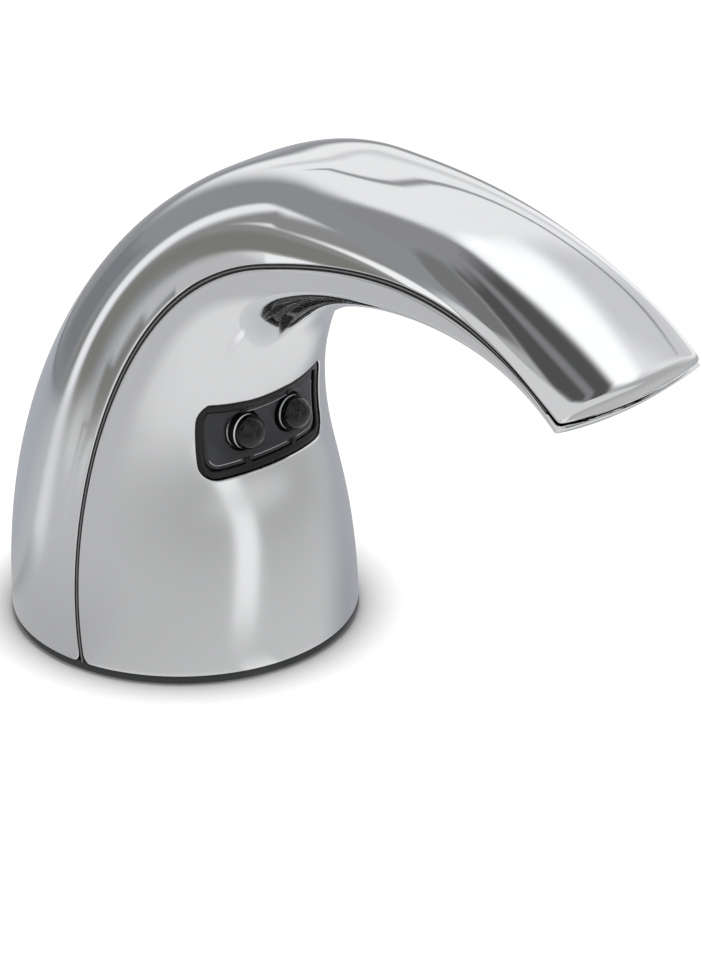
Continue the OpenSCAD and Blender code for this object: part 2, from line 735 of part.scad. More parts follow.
module rotor_gear() {
    color(white_colour) at_axis(low_gear_z) gear(large_teeth, gear_face, rotor_shaft_r + running);
}
module compound_gear() {
    color(white_colour) at_axis(low_gear_z) translate([-gear_gap, 0, 0]) {
        gear(small_teeth, high_gear_z - low_gear_z, gear_pin_r + running, 180 / small_teeth);
        translate([0, 0, high_gear_z - low_gear_z])
            gear(large_teeth, gear_face, gear_pin_r + running, 180 / large_teeth);
    }
}
module gear_pin() {
    color(steel_colour) at_axis(cover_top - pin_seat) translate([-gear_gap, 0, 0])
        cylinder(h = motor_z - air - cover_top + pin_seat, r = gear_pin_r);
}
pinion_z = high_gear_z;
module drive_pinion() {
    color(brass_colour) at_axis(pinion_z) gear(small_teeth, gear_face, motor_shaft_r + running);
}
module motor_shaft() {
    color(steel_colour) at_axis(pinion_z)
        cylinder(h = motor_z + motor_len / 2 - pinion_z, r = motor_shaft_r);
}

module gear_spacers() {
    color(steel_colour) at_axis(cover_top) pillar_places() difference() {
        cylinder(h = gear_plate_z - cover_top, r = spacer_r);
        translate([0, 0, -1]) cylinder(h = gear_plate_z - cover_top + 2, r = screw_r + 2 * running);
    }
}
motor_neck_r = 3.2;
motor_tab_t = 0.5;
motor_screw_place = 8.5;
bracket_w = 14;
bracket_t = 2;
bracket_foot = 7;
control_y = motor_r + 6;
control_x = axis_x + 6;
module gear_plate() {
    tab_end = control_y + board_t + bracket_foot;
    color(steel_colour) difference() {
        at_axis(gear_plate_z) linear_extrude(deck_t) {
            ear_outline(motor_r + 2);
            translate([-gear_gap, 0]) circle(ear_r);
            translate([-gear_gap, -ear_r]) square([gear_gap, 2 * ear_r]);
            translate([control_x - axis_x - bracket_w / 2, 0]) square([bracket_w, tab_end]);
        }
        at_axis(gear_plate_z - 1) cylinder(h = deck_t + 2, r = motor_neck_r + seat);
        at_axis(gear_plate_z - 1) translate([-gear_gap, 0, 0])
            cylinder(h = deck_t + 2, r = gear_pin_r + running);
        at_axis(gear_plate_z - 1) for (y = [-1, 1]) translate([0, y * motor_screw_place, 0])
            cylinder(h = deck_t + 2, r = small_screw_r + seat);
        at_axis() pillar_holes(gear_plate_z - 1, motor_z + 1);
        bracket_foot_holes(gear_plate_z - 1, deck_t + 2, small_screw_r + running);
    }
}
module frame_screws() {
    color(steel_colour) at_axis(motor_z) pillar_places()
        screw(screw_r, head_r, head_h, motor_z - plate_top - 4);
}
module motor() {
    boss_len = deck_t + 2 * air;
    color(steel_colour) at_axis(motor_z) difference() {
        union() {
            cylinder(h = motor_len, r = motor_r);
            translate([0, 0, motor_len]) cylinder(h = 1.5, r = motor_r / 3);
            translate([0, 0, -boss_len]) cylinder(h = boss_len, r = motor_neck_r);
            for (x = [-1, 1]) translate([x * motor_r / 2 - 1, -motor_tab_t / 2, motor_len - 1])
                cube([2, motor_tab_t, 4]);
        }
        translate([0, 0, -boss_len - 1])
            cylinder(h = boss_len + motor_len / 2 + 1 + air, r = motor_shaft_r + running);
        for (y = [-1, 1]) translate([0, y * motor_screw_place, -1])
            cylinder(h = 5, r = small_screw_r + running);
    }
}
module motor_screws() {
    color(steel_colour) at_axis(gear_plate_z) for (y = [-1, 1])
        translate([0, y * motor_screw_place, 0]) mirror([0, 0, 1])
            screw(small_screw_r, small_head_r, small_head_h, deck_t + 3);
}

// A closed tube or strip along points in the order of its profile
function path_way(p, i) =
    let (a = p[max(i - 1, 0)], b = p[min(i + 1, len(p) - 1)]) unit(b - a);
function path_ring(p, i, profile, side_hint) =
    let (w = path_way(p, i), u = unit(cross(w, side_hint)), v = cross(u, w))
    [for (c = profile) p[i] + c[0] * u + c[1] * v];
function ring_profile(r, sides) =
    [for (i = [0 : sides - 1]) r * [cos(360 * i / sides), sin(360 * i / sides)]];
// Smooth path through its points, with steps between each pair
function between(p, i, s) =
    let (a = p[max(i - 1, 0)], b = p[i], c = p[i + 1], d = p[min(i + 2, len(p) - 1)])
    0.5 * (2 * b + s * (c - a) + s * s * (2 * a - 5 * b + 4 * c - d)
        + s * s * s * (3 * b - a - 3 * c + d));
function smooth_path(p, steps) =
    concat([for (i = [0 : len(p) - 2], k = [0 : steps - 1]) between(p, i, k / steps)], [p[len(p) - 1]]);
module strand(p, profile, side_hint = [1, 0, 0]) {
    loft([for (i = [0 : len(p) - 1]) path_ring(p, i, profile, side_hint)]);
}
// A tube with its bore: each row runs round the outside and back round the bore
module hose(p, outer_r, inner_r, sides, side_hint = [1, 0, 0]) {
    n = sides;
    m = len(p);
    outside = [for (i = [0 : m - 1]) each path_ring(p, i, ring_profile(outer_r, n), side_hint)];
    bore_r = inner_r / cos(180 / n);
    inside = [for (i = [0 : m - 1]) each path_ring(p, i, ring_profile(bore_r, n), side_hint)];
    step = m * n;
    outer_faces = [for (r = [0 : m - 2], i = [0 : n - 1]) let (j = (i + 1) % n,
        a = r * n + i, b = r * n + j, c = b + n, d = a + n) each [[a, b, c], [a, c, d]]];
    inner_faces = [for (f = outer_faces) [f[0] + step, f[2] + step, f[1] + step]];
    caps = [for (i = [0 : n - 1]) let (j = (i + 1) % n, e = step - n)
        each [[i, step + i, j], [j, step + i, step + j],
              [e + i, e + j, step + e + i], [e + j, step + e + j, step + e + i]]];
    polyhedron(concat(outside, inside), concat(outer_faces, inner_faces, caps));
}

// Control board on a bracket behind the motor
control_z = motor_z + head_h + air;
bracket_y = control_y + board_t;
hole_x = 5;
hole_rise = 4;
module bracket_foot_holes(z, h, r) {
    for (x = [-1, 1]) translate([control_x + x * hole_x, bracket_y + bracket_t + bracket_foot / 2 - 1, z])
        cylinder(h = h, r = r);
}
module board_hole_places() {
    for (x = [-1, 1]) translate([control_x + x * hole_x, control_y, control_z + hole_rise])
        rotate([-90, 0, 0]) children();
}
module control_bracket() {
    color(steel_colour) difference() {
        union() {
            translate([control_x - bracket_w / 2, bracket_y, motor_z])
                cube([bracket_w, bracket_t, control_z - motor_z + control_h / 2]);
            translate([control_x - bracket_w / 2, bracket_y, motor_z])
                cube([bracket_w, bracket_foot, bracket_t]);
        }
        bracket_foot_holes(motor_z - 1, bracket_t + 2, small_screw_r + seat);
        board_hole_places() translate([0, 0, -1]) cylinder(h = 8, r = small_screw_r + running);
    }
}
module control_board() {
    color(board_colour) difference() {
        translate([control_x - control_w / 2, control_y, control_z])
            cube([control_w, board_t, control_h]);
        board_hole_places() translate([0, 0, -1]) cylinder(h = board_t + 2, r = small_screw_r + seat);
    }
}
module board_screws() {
    color(steel_colour) {
        board_hole_places() rotate([180, 0, 0])
            screw(small_screw_r, small_head_r, small_head_h, board_t + bracket_t - seat);
        translate([0, 0, motor_z + bracket_t]) for (x = [-1, 1])
            translate([control_x + x * hole_x, bracket_y + bracket_t + bracket_foot / 2 - 1, 0])
                screw(small_screw_r, small_head_r, small_head_h, bracket_t + deck_t - seat);
    }
}
// Boxes soldered on the front of the board: processor, driver, two capacitors, ribbon socket
chip_t = 1.4;
socket_t = 3;
socket_x = control_x + 5.5;
ribbon_h = 6;
ribbon_z = control_z + control_h - ribbon_h - 1;
module control_chips() {
    color(black_colour) {
        translate([control_x - 9, control_y - chip_t, control_z + 10]) cube([8, chip_t, 8]);
        translate([control_x - 12, control_y - chip_t, control_z + 1]) cube([4, chip_t, 5]);
        translate([socket_x - socket_t / 2, control_y - socket_t, ribbon_z]) cube([socket_t, socket_t, ribbon_h]);
        translate([control_x - 13, control_y - chip_t, control_z + 8]) cube([2.5, chip_t, 1.5]);
    }
}
inlet_w = 7;
inlet_d = 5;
inlet_h = 8;
module power_inlet() {
    color(white_colour) translate([control_x + control_w / 2 - inlet_w, control_y - inlet_d, control_z])
        difference() {
            cube([inlet_w, inlet_d, inlet_h]);
            translate([1, 1, -1]) cube([inlet_w - 2, inlet_d - 2, inlet_h - 1]);
        }
}
ribbon_t = 0.6;
module sensor_ribbon() {
    start = [0, sensor_board_y + board_t, 0];
    turned = [0, start[1] * cos(window_tilt), -start[1] * sin(window_tilt)];
    from = [axis_x + 8, window_spot[0], window_spot[1] + gasket_h] + turned;
    z = ribbon_z + ribbon_h / 2;
    points = [from + [0, ribbon_t, 0], from + [1, 2, 1], [axis_x + motor_r, -motor_r + 2, z - 1],
        [axis_x + motor_r + 2, 0, z], [axis_x + motor_r, motor_r - 1, z],
        [socket_x, control_y - socket_t - 4 * ribbon_t, z], [socket_x, control_y - socket_t - 2 * ribbon_t, z],
        [socket_x, control_y - socket_t - seat, z]];
    strip = [[ribbon_t / 2, -ribbon_h / 2], [ribbon_t / 2, ribbon_h / 2],
             [-ribbon_t / 2, ribbon_h / 2], [-ribbon_t / 2, -ribbon_h / 2]];
    color(steel_colour) strand(smooth_path(points, 3), strip, [0, 0, 1]);
}
lead_r = 0.7;
lead_pitch = 2.4;
module motor_leads() {
    top = motor_z + motor_len;
    over = motor_r + lead_r + air;
    color(rubber_colour) for (x = [-1, 1]) {
        end_x = control_x + (1 + x) * lead_pitch / 2;
        points = [[axis_x + x * motor_r / 2, motor_tab_t / 2 + seat + lead_r, top + 2 * lead_r],
            [axis_x + x * motor_r / 2, 3, top + 3 * lead_r], [end_x, over, top + 2 * lead_r],
            [end_x, over + 2.5, top - 3], [end_x, control_y - lead_r - seat, control_z + control_h - 2.5]];
        strand(smooth_path(points, 3), ring_profile(lead_r, 6));
    }
}

// Nozzle through the underside of the spout, fed from behind
nozzle_station = 1.65;
nozzle_spot = front_line(nozzle_station);
nozzle_bow = bow_at(nozzle_station);
module nozzle_place() {
    translate([0, nozzle_spot[0] - nozzle_bow, nozzle_spot[1] + gasket_h]) children();
}
nozzle_run = front_line(nozzle_station + slope_step) - front_line(nozzle_station - slope_step);
nozzle_slope = abs(nozzle_run[1] / nozzle_run[0]);
nozzle_flange_t = 1.2;
nozzle_flange_r = nozzle_r + 1.5;
seal_t = 0.8;
nozzle_flange_z = shell_wall + air + nozzle_slope * nozzle_flange_r + seal_t + seat;
nozzle_feed_z = nozzle_flange_z + nozzle_flange_t + tube_od / 2 - 0.6;
nozzle_top = nozzle_feed_z + tube_od / 2 - 0.4;
valve_r = 2.6;
module nozzle() {
    color(black_colour) nozzle_place() difference() {
        union() {
            translate([0, 0, -nozzle_drop]) cylinder(h = nozzle_top + nozzle_drop, r = nozzle_r);
            difference() {
                translate([0, 0, nozzle_flange_z]) cylinder(h = nozzle_flange_t, r = nozzle_flange_r);
                // Notch that lets the tube lie on the barb
                translate([0, nozzle_r, nozzle_feed_z]) rotate([-90, 0, 0])
                    cylinder(h = barb_len, r = tube_od / 2 + seat);
            }
            translate([0, 0, nozzle_feed_z]) rotate([-90, 0, 0])
                cylinder(h = nozzle_r + barb_len, r = barb_r);
        }
        translate([0, 0, -nozzle_drop - 1])
            cylinder(h = nozzle_drop + 1 + nozzle_flange_z, r = valve_r + seat);
        translate([0, 0, nozzle_flange_z - 1]) cylinder(h = nozzle_feed_z - nozzle_flange_z + 1, r = 1);
        translate([0, 0, nozzle_feed_z]) rotate([-90, 0, 0])
            cylinder(h = nozzle_r + barb_len + 1, r = barb_r - barb_wall);
    }
}
module nozzle_seal() {
    color(rubber_colour) nozzle_place() translate([0, 0, nozzle_flange_z - seat - seal_t]) difference() {
        cylinder(h = seal_t, r = nozzle_flange_r);
        translate([0, 0, -1]) cylinder(h = seal_t + 2, r = nozzle_r + seat);
    }
}
// Duckbill valve: a soft cup whose two lips close at the outlet
module nozzle_valve() {
    bill = 2.4;
    cup = 1.6;
    lip = 0.5;
    valve_z = nozzle_flange_z - running - cup - bill;
    color(tube_colour) nozzle_place() translate([0, 0, valve_z]) difference() {
        union() {
            translate([0, 0, bill]) cylinder(h = cup, r = valve_r);
            intersection() {
                cylinder(h = bill + running, r = valve_r - lip);
                translate([-valve_r, 0, 0]) rotate([90, 0, 90]) linear_extrude(2 * valve_r)
                    polygon([[-lip, 0], [lip, 0], [valve_r, bill + running], [-valve_r, bill + running]]);
            }
        }
        translate([0, 0, bill]) cylinder(h = cup + 1, r = valve_r / 2);
    }
}

// Soap tube from the pump up the back, then at the height of the nozzle barb along the underside
hose_rise = [14, 26];
function lane(t, share, x) =
    let (p = side_line(t) + share * (back_line(t) - side_line(t))) [x, p[0], p[1] + gasket_h];
function ledge_lane(t) =
    let (w = unit(front_line(t + slope_step) - front_line(t - slope_step)),
         p = front_line(t) + nozzle_feed_z * [w[1], -w[0]]) [0, p[0], p[1] + gasket_h];
module delivery_tube() {
    straight = 1.6 * barb_len;
    start = [elbow_x, leg_y, tube_z + elbow_r + 1 + seat];
    end = [0, nozzle_spot[0] - nozzle_bow + nozzle_r + seat, nozzle_spot[1] + gasket_h + nozzle_feed_z];
    points = [start, start + [0, 0, barb_len], start + [0, 0, straight], start + [-1, -1, hose_rise[0]],
        start + [-4, -4, hose_rise[1]], lane(0.5, 0.6, 14), lane(0.6, 0.45, 10), lane(0.7, 0.35, 5.5),
        lane(0.8, 0.2, 2), ledge_lane(1.1), ledge_lane(1.22), ledge_lane(1.35), ledge_lane(1.48),
        end + [0, straight, 0], end + [0, barb_len, 0], end];
    color(tube_colour) hose(smooth_path(points, 3), tube_od / 2, tube_id / 2, 8);
}

rear_shell();
front_shell();
seam_strip();
base_gasket();
base_plate();
shell_screws();
sensor_bezel();
sensor_cover();
lens_emitter();
lens_receiver();
lens_holder();
ir_emitter();
ir_receiver();
sensor_board();
sensor_screws();
sensor_ribbon();
pump_body();
pump_cover();
pump_tube();
inlet_elbow();
outlet_elbow();
pump_rotor();
rotor_cap();
rotor_gear();
roller_1();
roller_2();
roller_3();
gear_spacers();
gear_plate();
frame_screws();
gear_pin();
compound_gear();
drive_pinion();
motor_shaft();
motor();
motor_screws();
motor_leads();
control_bracket();
control_board();
control_chips();
power_inlet();
board_screws();
delivery_tube();
nozzle();
nozzle_seal();
nozzle_valve();
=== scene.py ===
"""Looks of a chromed soap dispenser head: casing, sensor window, gasket, inner works and studio."""
import json
import logging
import math
from dataclasses import dataclass, field
from enum import Enum
from typing import Any, Callable, Mapping, Sequence

import bmesh
import bpy
from mathutils import Matrix, Vector
from mathutils.geometry import delaunay_2d_cdt


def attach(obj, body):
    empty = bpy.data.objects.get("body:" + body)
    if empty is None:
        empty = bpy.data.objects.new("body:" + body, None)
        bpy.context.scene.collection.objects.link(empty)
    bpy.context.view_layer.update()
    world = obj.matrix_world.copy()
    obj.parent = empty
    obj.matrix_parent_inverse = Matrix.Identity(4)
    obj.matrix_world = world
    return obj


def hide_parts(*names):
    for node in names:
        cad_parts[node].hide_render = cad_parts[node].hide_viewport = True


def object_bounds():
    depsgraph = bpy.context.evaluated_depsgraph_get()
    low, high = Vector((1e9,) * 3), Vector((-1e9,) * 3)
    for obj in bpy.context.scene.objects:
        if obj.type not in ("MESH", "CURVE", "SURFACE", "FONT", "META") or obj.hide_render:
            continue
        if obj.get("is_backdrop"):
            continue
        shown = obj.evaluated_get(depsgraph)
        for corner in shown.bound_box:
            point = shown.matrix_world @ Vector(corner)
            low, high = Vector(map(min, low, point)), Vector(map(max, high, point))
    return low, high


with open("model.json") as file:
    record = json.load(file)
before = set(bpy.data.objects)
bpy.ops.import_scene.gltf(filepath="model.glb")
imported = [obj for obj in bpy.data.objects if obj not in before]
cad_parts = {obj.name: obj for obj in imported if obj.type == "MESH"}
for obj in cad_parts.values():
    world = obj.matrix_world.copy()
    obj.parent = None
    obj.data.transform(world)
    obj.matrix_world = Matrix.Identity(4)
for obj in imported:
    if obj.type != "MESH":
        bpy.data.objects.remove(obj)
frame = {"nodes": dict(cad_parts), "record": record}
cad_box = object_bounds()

log = logging.getLogger("soap_dispenser")
MM = 0.001
DEGREES = 180 / math.pi
BODY = "housing"
WELD_PER_MM = 2e4
STATION_STEP = 0.004
TURN_STEP = 0.2
NUDGE = 1e-4
NEAR_ONE = 0.999999
Point = tuple[float, float, float]
Flat = tuple[float, float]
Ring = list[tuple[float, float, Point]]


def smooth(x: float) -> float:
    """Smooth step from 0 to 1."""
    c = min(max(x, 0.0), 1.0)
    return c * c * (3 - 2 * c)


def bezier(a: float, b: float, c: float, d: float, s: float) -> float:
    """Cubic Bezier of four numbers at s."""
    r = 1 - s
    return r * r * r * a + 3 * r * r * s * b + 3 * r * s * s * c + s * s * s * d


def quarter(radius: float, rise: float) -> float:
    """Set-back of a rounded edge at a height above its foot, 0 above the rounding."""
    if rise >= radius:
        return 0.0
    return radius - math.sqrt(radius * radius - (radius - rise) ** 2)


def spread(first: float, last: float, steps: int) -> list[float]:
    """Evenly spaced numbers from first to last."""
    return [first + (last - first) * i / steps for i in range(steps + 1)]


class Side(Enum):
    """Which half of the casing a shell is."""

    REAR = 1
    FRONT = -1


@dataclass(frozen=True)
class Station:
    """One section of the casing, across the spout."""

    side: Flat
    top_way: Flat
    low_way: Flat
    top_reach: float
    low_reach: float
    half_width: float
    top_power: float
    low_power: float
    bow: float


@dataclass(frozen=True)
class Outline:
    """The casing's outer surface by station (0 base to 2 tip) and turn (-90 front to 90 back), in mm."""

    base_r: float = 42.5
    crest: Flat = (-58.2, 131.4)
    tip: Flat = (-141.5, 100.6)
    neck: Flat = (-30.6, 59.8)
    knee_reach: float = 54.5
    knee_share: float = 0.2973
    root_half_w: float = 23.6
    tip_half_w: float = 23.3
    tip_bow: float = 3.0
    tip_edge: float = 1.2
    lift: float = 2.2
    wall: float = 2.4
    seam_gap: float = 1.2
    leans: Point = (-5.9, -8.0, 0.0)
    knee_lean: float = 77.0
    back_handles: Point = (58.3, 51.7, 39.1)
    side_handles: Point = (41.3, 52.2, 35.6)
    front_handles: Point = (44.0, 20.0, 37.4)
    back_end: Flat = (-0.8, 3.6)
    front_end: Flat = (3.9, -3.4)
    back_fall: Flat = (32.4, 0.657)
    side_fall: Flat = (21.6, 0.609)
    front_fall: Flat = (31.5, 0.84)
    neck_station: float = 0.414
    width_pull: Flat = (3.7, 2.3)
    spout_pull: float = 0.7
    powers: Point = (3.2, 2.7, 2.6)
    root_ease: float = 0.58
    ease_in: Flat = (0.55, 0.35)
    ease_out: Flat = (1.05, 0.65)
    seam_offsets: tuple[float, ...] = (-8.22, -2.46, -9.09, 15.39, -1.6, 0.4)
    seam_slant: float = 0.3
    nose_station: float = 1.98
    hollow_station: float = 1.72
    hollow_fade: float = 0.14
    bow_station: float = 1.5
    cache: dict[float, Station] = field(default_factory=dict, compare=False, repr=False)

    def run(self, t: float, p0: Flat, lean0: float, p1: Flat, lean1: float, p2: Flat,
            fall: Flat, handles: Point) -> Flat:
        """One outline curve in the Y-Z plane.

        Args:
            t: Station, 0 to 2.
            p0, p1, p2: Start, middle and end of the curve.
            lean0, lean1: Lean at p0 and p1, degrees from upright.
            fall: Last handle: its reach, and its height as a share of the rise to the crest.
            handles: Lengths of the other handles.

        Returns:
            The point (y, z) without the gasket's height.
        """
        ways = [(-math.sin(math.radians(a)), math.cos(math.radians(a))) for a in (lean0, lean1)]
        rise = self.crest[1] - self.tip[1]
        late = (p2[0] + fall[0], p2[1] + fall[1] * rise)
        out = []
        for k in (0, 1):
            if t <= 1:
                out.append(bezier(p0[k], p0[k] + handles[0] * ways[0][k],
                                  p1[k] - handles[1] * ways[1][k], p1[k], t))
            else:
                out.append(bezier(p1[k], p1[k] + handles[2] * ways[1][k], late[k], p2[k], t - 1))
        return out[0], out[1]

    def back_line(self, t: float) -> Flat:
        """Back and top line of the casing."""
        end = (self.tip[0] + self.back_end[0], self.tip[1] + self.back_end[1])
        return self.run(t, (self.base_r, 0), self.leans[0], self.crest, 90, end,
                        self.back_fall, self.back_handles)

    def side_line(self, t: float) -> Flat:
        """Line where the casing is widest."""
        knee = (-self.knee_reach, self.crest[1] - self.knee_share * (self.crest[1] - self.neck[1]))
        return self.run(t, (0, 0), self.leans[1], knee, self.knee_lean, self.tip,
                        self.side_fall, self.side_handles)

    def front_line(self, t: float) -> Flat:
        """Front and underside line of the casing."""
        n = self.neck_station
        late = t / n if t < n else 1 + (t - n) / (2 - n)
        end = (self.tip[0] + self.front_end[0], self.tip[1] + self.front_end[1])
        return self.run(late, (-self.base_r, 0), self.leans[2], self.neck, 0, end,
                        self.front_fall, self.front_handles)

    def station(self, t: float) -> Station:
        """The section at a station, kept for the next call."""
        if t not in self.cache:
            back, side, front = self.back_line(t), self.side_line(t), self.front_line(t)
            up = (back[0] - side[0], back[1] - side[1])
            down = (front[0] - side[0], front[1] - side[1])
            top, low = math.hypot(*up), math.hypot(*down)
            s = min(max((t - self.nose_station) / (2 - self.nose_station), 0), 1)
            root, pull = self.root_half_w, self.width_pull
            if t <= 1:
                half = bezier(self.base_r, self.base_r - pull[0], root + pull[1], root, t)
            else:
                half = bezier(root, root - self.spout_pull, self.tip_half_w, self.tip_half_w, t - 1)
            high, end, under = self.powers
            ease = smooth((t - self.ease_in[0]) / self.ease_in[1])
            ease *= 1 - smooth((t - self.ease_out[0]) / self.ease_out[1])
            self.cache[t] = Station(
                side, (up[0] / top, up[1] / top), (down[0] / low, down[1] / low),
                max(top * math.sqrt(1 - s * s), self.tip_edge), low, half,
                2 + (high - 2) * smooth(t) + (end - high) * smooth(t - 1),
                2 + (under - 2) * smooth(t) - self.root_ease * ease,
                self.tip_bow * smooth((t - self.bow_station) / (2 - self.bow_station)))
        return self.cache[t]

    def spot(self, t: float, x: float, s: float) -> Point:
        """Point of a section at a half width and a signed distance from its widest line."""
        st = self.station(t)
        way = st.top_way if s >= 0 else (-st.low_way[0], -st.low_way[1])
        bow = st.bow * (1 - (x / st.half_width) ** 2)
        return x, st.side[0] + s * way[0] - bow, st.side[1] + s * way[1] + self.lift

    def section(self, t: float, a: float) -> Flat:
        """Half width and signed distance from the widest line at a turn, in degrees."""
        st = self.station(t)
        c, s = max(math.cos(math.radians(a)), 0.0), math.sin(math.radians(a))
        if a >= 0:
            return st.half_width * c ** (2 / st.top_power), st.top_reach * s ** (2 / st.top_power)
        return st.half_width * c ** (2 / st.low_power), -st.low_reach * (-s) ** (2 / st.low_power)

    def turn_at(self, t: float, s: float) -> float:
        """Turn at a signed distance from the widest line, in degrees."""
        st = self.station(t)
        if s >= 0:
            return math.degrees(math.asin(min(s / st.top_reach, 1) ** (st.top_power / 2)))
        return -math.degrees(math.asin(min(-s / st.low_reach, 1) ** (st.low_power / 2)))

    def seam_shift(self, t: float) -> float:
        """Signed distance of the seam from the widest line."""
        u, st = t / 2, self.station(t)
        n = len(self.seam_offsets) - 1
        d = sum(math.comb(n, k) * (1 - u) ** (n - k) * u ** k * q for k, q in enumerate(self.seam_offsets))
        a, b = self.side_line(max(t - STATION_STEP, 0)), self.side_line(min(t + STATION_STEP, 2))
        w = ((b[0] - a[0]) / math.dist(a, b), (b[1] - a[1]) / math.dist(a, b))
        way = st.top_way if d >= 0 else (-st.low_way[0], -st.low_way[1])
        return d / max(way[0] * w[1] - way[1] * w[0], self.seam_slant)

    def skin(self, t: float, a: float) -> Point:
        """Point of the outer surface."""
        return self.spot(t, *self.section(t, a))

    def normal(self, t: float, a: float) -> Vector:
        """Outward normal of the outer surface."""
        late, early = min(t + STATION_STEP, 2), max(t - STATION_STEP, 0)
        along = Vector(self.skin(late, a)) - Vector(self.skin(early, a))
        across = Vector(self.skin(t, a + TURN_STEP)) - Vector(self.skin(t, a - TURN_STEP))
        return across.cross(along).normalized()

    def under(self, t: float, a: float, depth: float) -> Point:
        """Point at a depth under the outer surface; the base stays flat."""
        p = self.skin(t, a)
        if depth:
            n = self.normal(t, a)
            p = (p[0] - depth * n.x, p[1] - depth * n.y, p[2] - depth * n.z)
        return (p[0], p[1], self.lift) if t == 0 else p


OUTLINE = Outline()


class Patchwork:
    """Welded points and faces of one piece, collected in millimetres."""

    def __init__(self) -> None:
        """Starts with no points."""
        self.points: list[Point] = []
        self.normals: list[Point] = []
        self.faces: list[Sequence[int]] = []
        self.inks: list[int] = []
        self.index: dict[tuple[int, int, int], int] = {}

    def add(self, p: Sequence[float], normal: Vector | None = None) -> int:
        """Adds a point, or finds the one already there.

        Args:
            p: The place in mm.
            normal: Its exact normal, where it lies on a curved surface that is known.

        Returns:
            The point's number.
        """
        key = (round(p[0] * WELD_PER_MM), round(p[1] * WELD_PER_MM), round(p[2] * WELD_PER_MM))
        if key not in self.index:
            self.index[key] = len(self.points)
            self.points.append((p[0], p[1], p[2]))
            self.normals.append((0.0, 0.0, 0.0))
        number = self.index[key]
        if normal is not None:
            self.normals[number] = tuple(normal)
        return number

    def face(self, corners: Sequence[int], ink: int = 0) -> None:
        """Adds a face without repeated corners; ink is its material's number."""
        kept = [c for i, c in enumerate(corners) if c != corners[i - 1]]
        if len(set(kept)) > 2:
            self.faces.append(kept)
            self.inks.append(ink)

    def strip(self, one: Sequence[int], two: Sequence[int], closed: bool = False, ink: int = 0) -> None:
        """Joins two rows of equal length with quads."""
        n = len(one)
        for i in range(n if closed else n - 1):
            j = (i + 1) % n
            self.face([one[i], one[j], two[j], two[i]], ink)

    def rings(self, rows: Sequence[Sequence[int]], wrap: bool = False, ink: int = 0) -> None:
        """Joins closed rings one after the other; wrap joins the last to the first."""
        for one, two in zip(rows, rows[1:]):
            self.strip(one, two, closed=True, ink=ink)
        if wrap:
            self.strip(rows[-1], rows[0], closed=True, ink=ink)

    def loft(self, rows: Sequence[Sequence[int]], ink: int = 0, bands: Sequence[int] = ()) -> None:
        """Joins closed rings and closes both ends; bands gives the first rings inks of their own."""
        for k, (one, two) in enumerate(zip(rows, rows[1:])):
            self.strip(one, two, closed=True, ink=bands[k] if k < len(bands) else ink)
        self.face(rows[0], ink)
        self.face(rows[-1], ink)

    def fill(self, flat: Sequence[Vector], numbers: Sequence[int], loops: Sequence[tuple[int, int]],
             keep: Callable[[Flat], bool]) -> None:
        """Fills a flat outline with triangles.

        Args:
            flat: Places in the plane.
            numbers: The point's number for each place.
            loops: Edges that stay, as pairs of places.
            keep: Whether a triangle stays, by its middle.
        """
        spots, _, triangles, origin, _, _ = delaunay_2d_cdt(flat, loops, [], 0, 1e-7)
        for tri in triangles:
            middle = sum((spots[k] for k in tri), Vector((0, 0))) / 3
            if keep((middle.x, middle.y)):
                self.face([numbers[origin[k][0]] for k in tri])

    def fan(self, outer: Sequence[int], inner: Sequence[int]) -> None:
        """Joins a fine row to a coarser one whose steps are a whole number of fine steps."""
        share = (len(outer) - 1) // (len(inner) - 1)
        for k in range(len(inner) - 1):
            self.face([*outer[k * share:(k + 1) * share + 1], inner[k + 1], inner[k]])

    def lathe(self, profile: Sequence[Flat], place: Callable[[float, float, float], Point],
              segments: int, wrap: bool = False, bands: Sequence[int] = ()) -> None:
        """Turns a profile round an axis.

        Args:
            profile: Pairs of radius and height.
            place: Puts two cross coordinates and a height into the piece's frame.
            segments: Sides of the round.
            wrap: Joins the profile's end to its start, for a tube.
            bands: Inks of the first steps of the profile, where they are not 0.
        """
        rows = []
        for r, h in profile:
            rows.append([self.add(place(r * math.cos(2 * math.pi * i / segments),
                                        r * math.sin(2 * math.pi * i / segments), h))
                         for i in range(segments)])
        if wrap:
            self.rings(rows, wrap)
        else:
            self.loft(rows, bands=bands)

    def piece(self, name: str, finishes: Sequence[bpy.types.Material],
              crease: float | None = None) -> bpy.types.Object:
        """Makes the object, with its faces turned outwards.

        Args:
            name: The piece's name.
            finishes: Its materials, in the order of the inks.
            crease: Angle in degrees above which an edge is sharp; None where all is smooth.

        Returns:
            The new object, linked to the scene.
        """
        mesh = bpy.data.meshes.new(name)
        mesh.from_pydata([(x * MM, y * MM, z * MM) for x, y, z in self.points], [], self.faces)
        for finish in finishes:
            mesh.materials.append(finish)
        mesh.polygons.foreach_set("material_index", self.inks)
        work = bmesh.new()
        work.from_mesh(mesh)
        bmesh.ops.recalc_face_normals(work, faces=work.faces)
        work.to_mesh(mesh)
        work.free()
        mesh.polygons.foreach_set("use_smooth", [True] * len(mesh.polygons))
        if crease is not None:
            mesh.set_sharp_from_angle(angle=math.radians(crease))
        elif any(n != (0.0, 0.0, 0.0) for n in self.normals):
            mesh.normals_split_custom_set_from_vertices(self.normals)
        made = bpy.data.objects.new(name, mesh)
        bpy.context.scene.collection.objects.link(made)
        return made


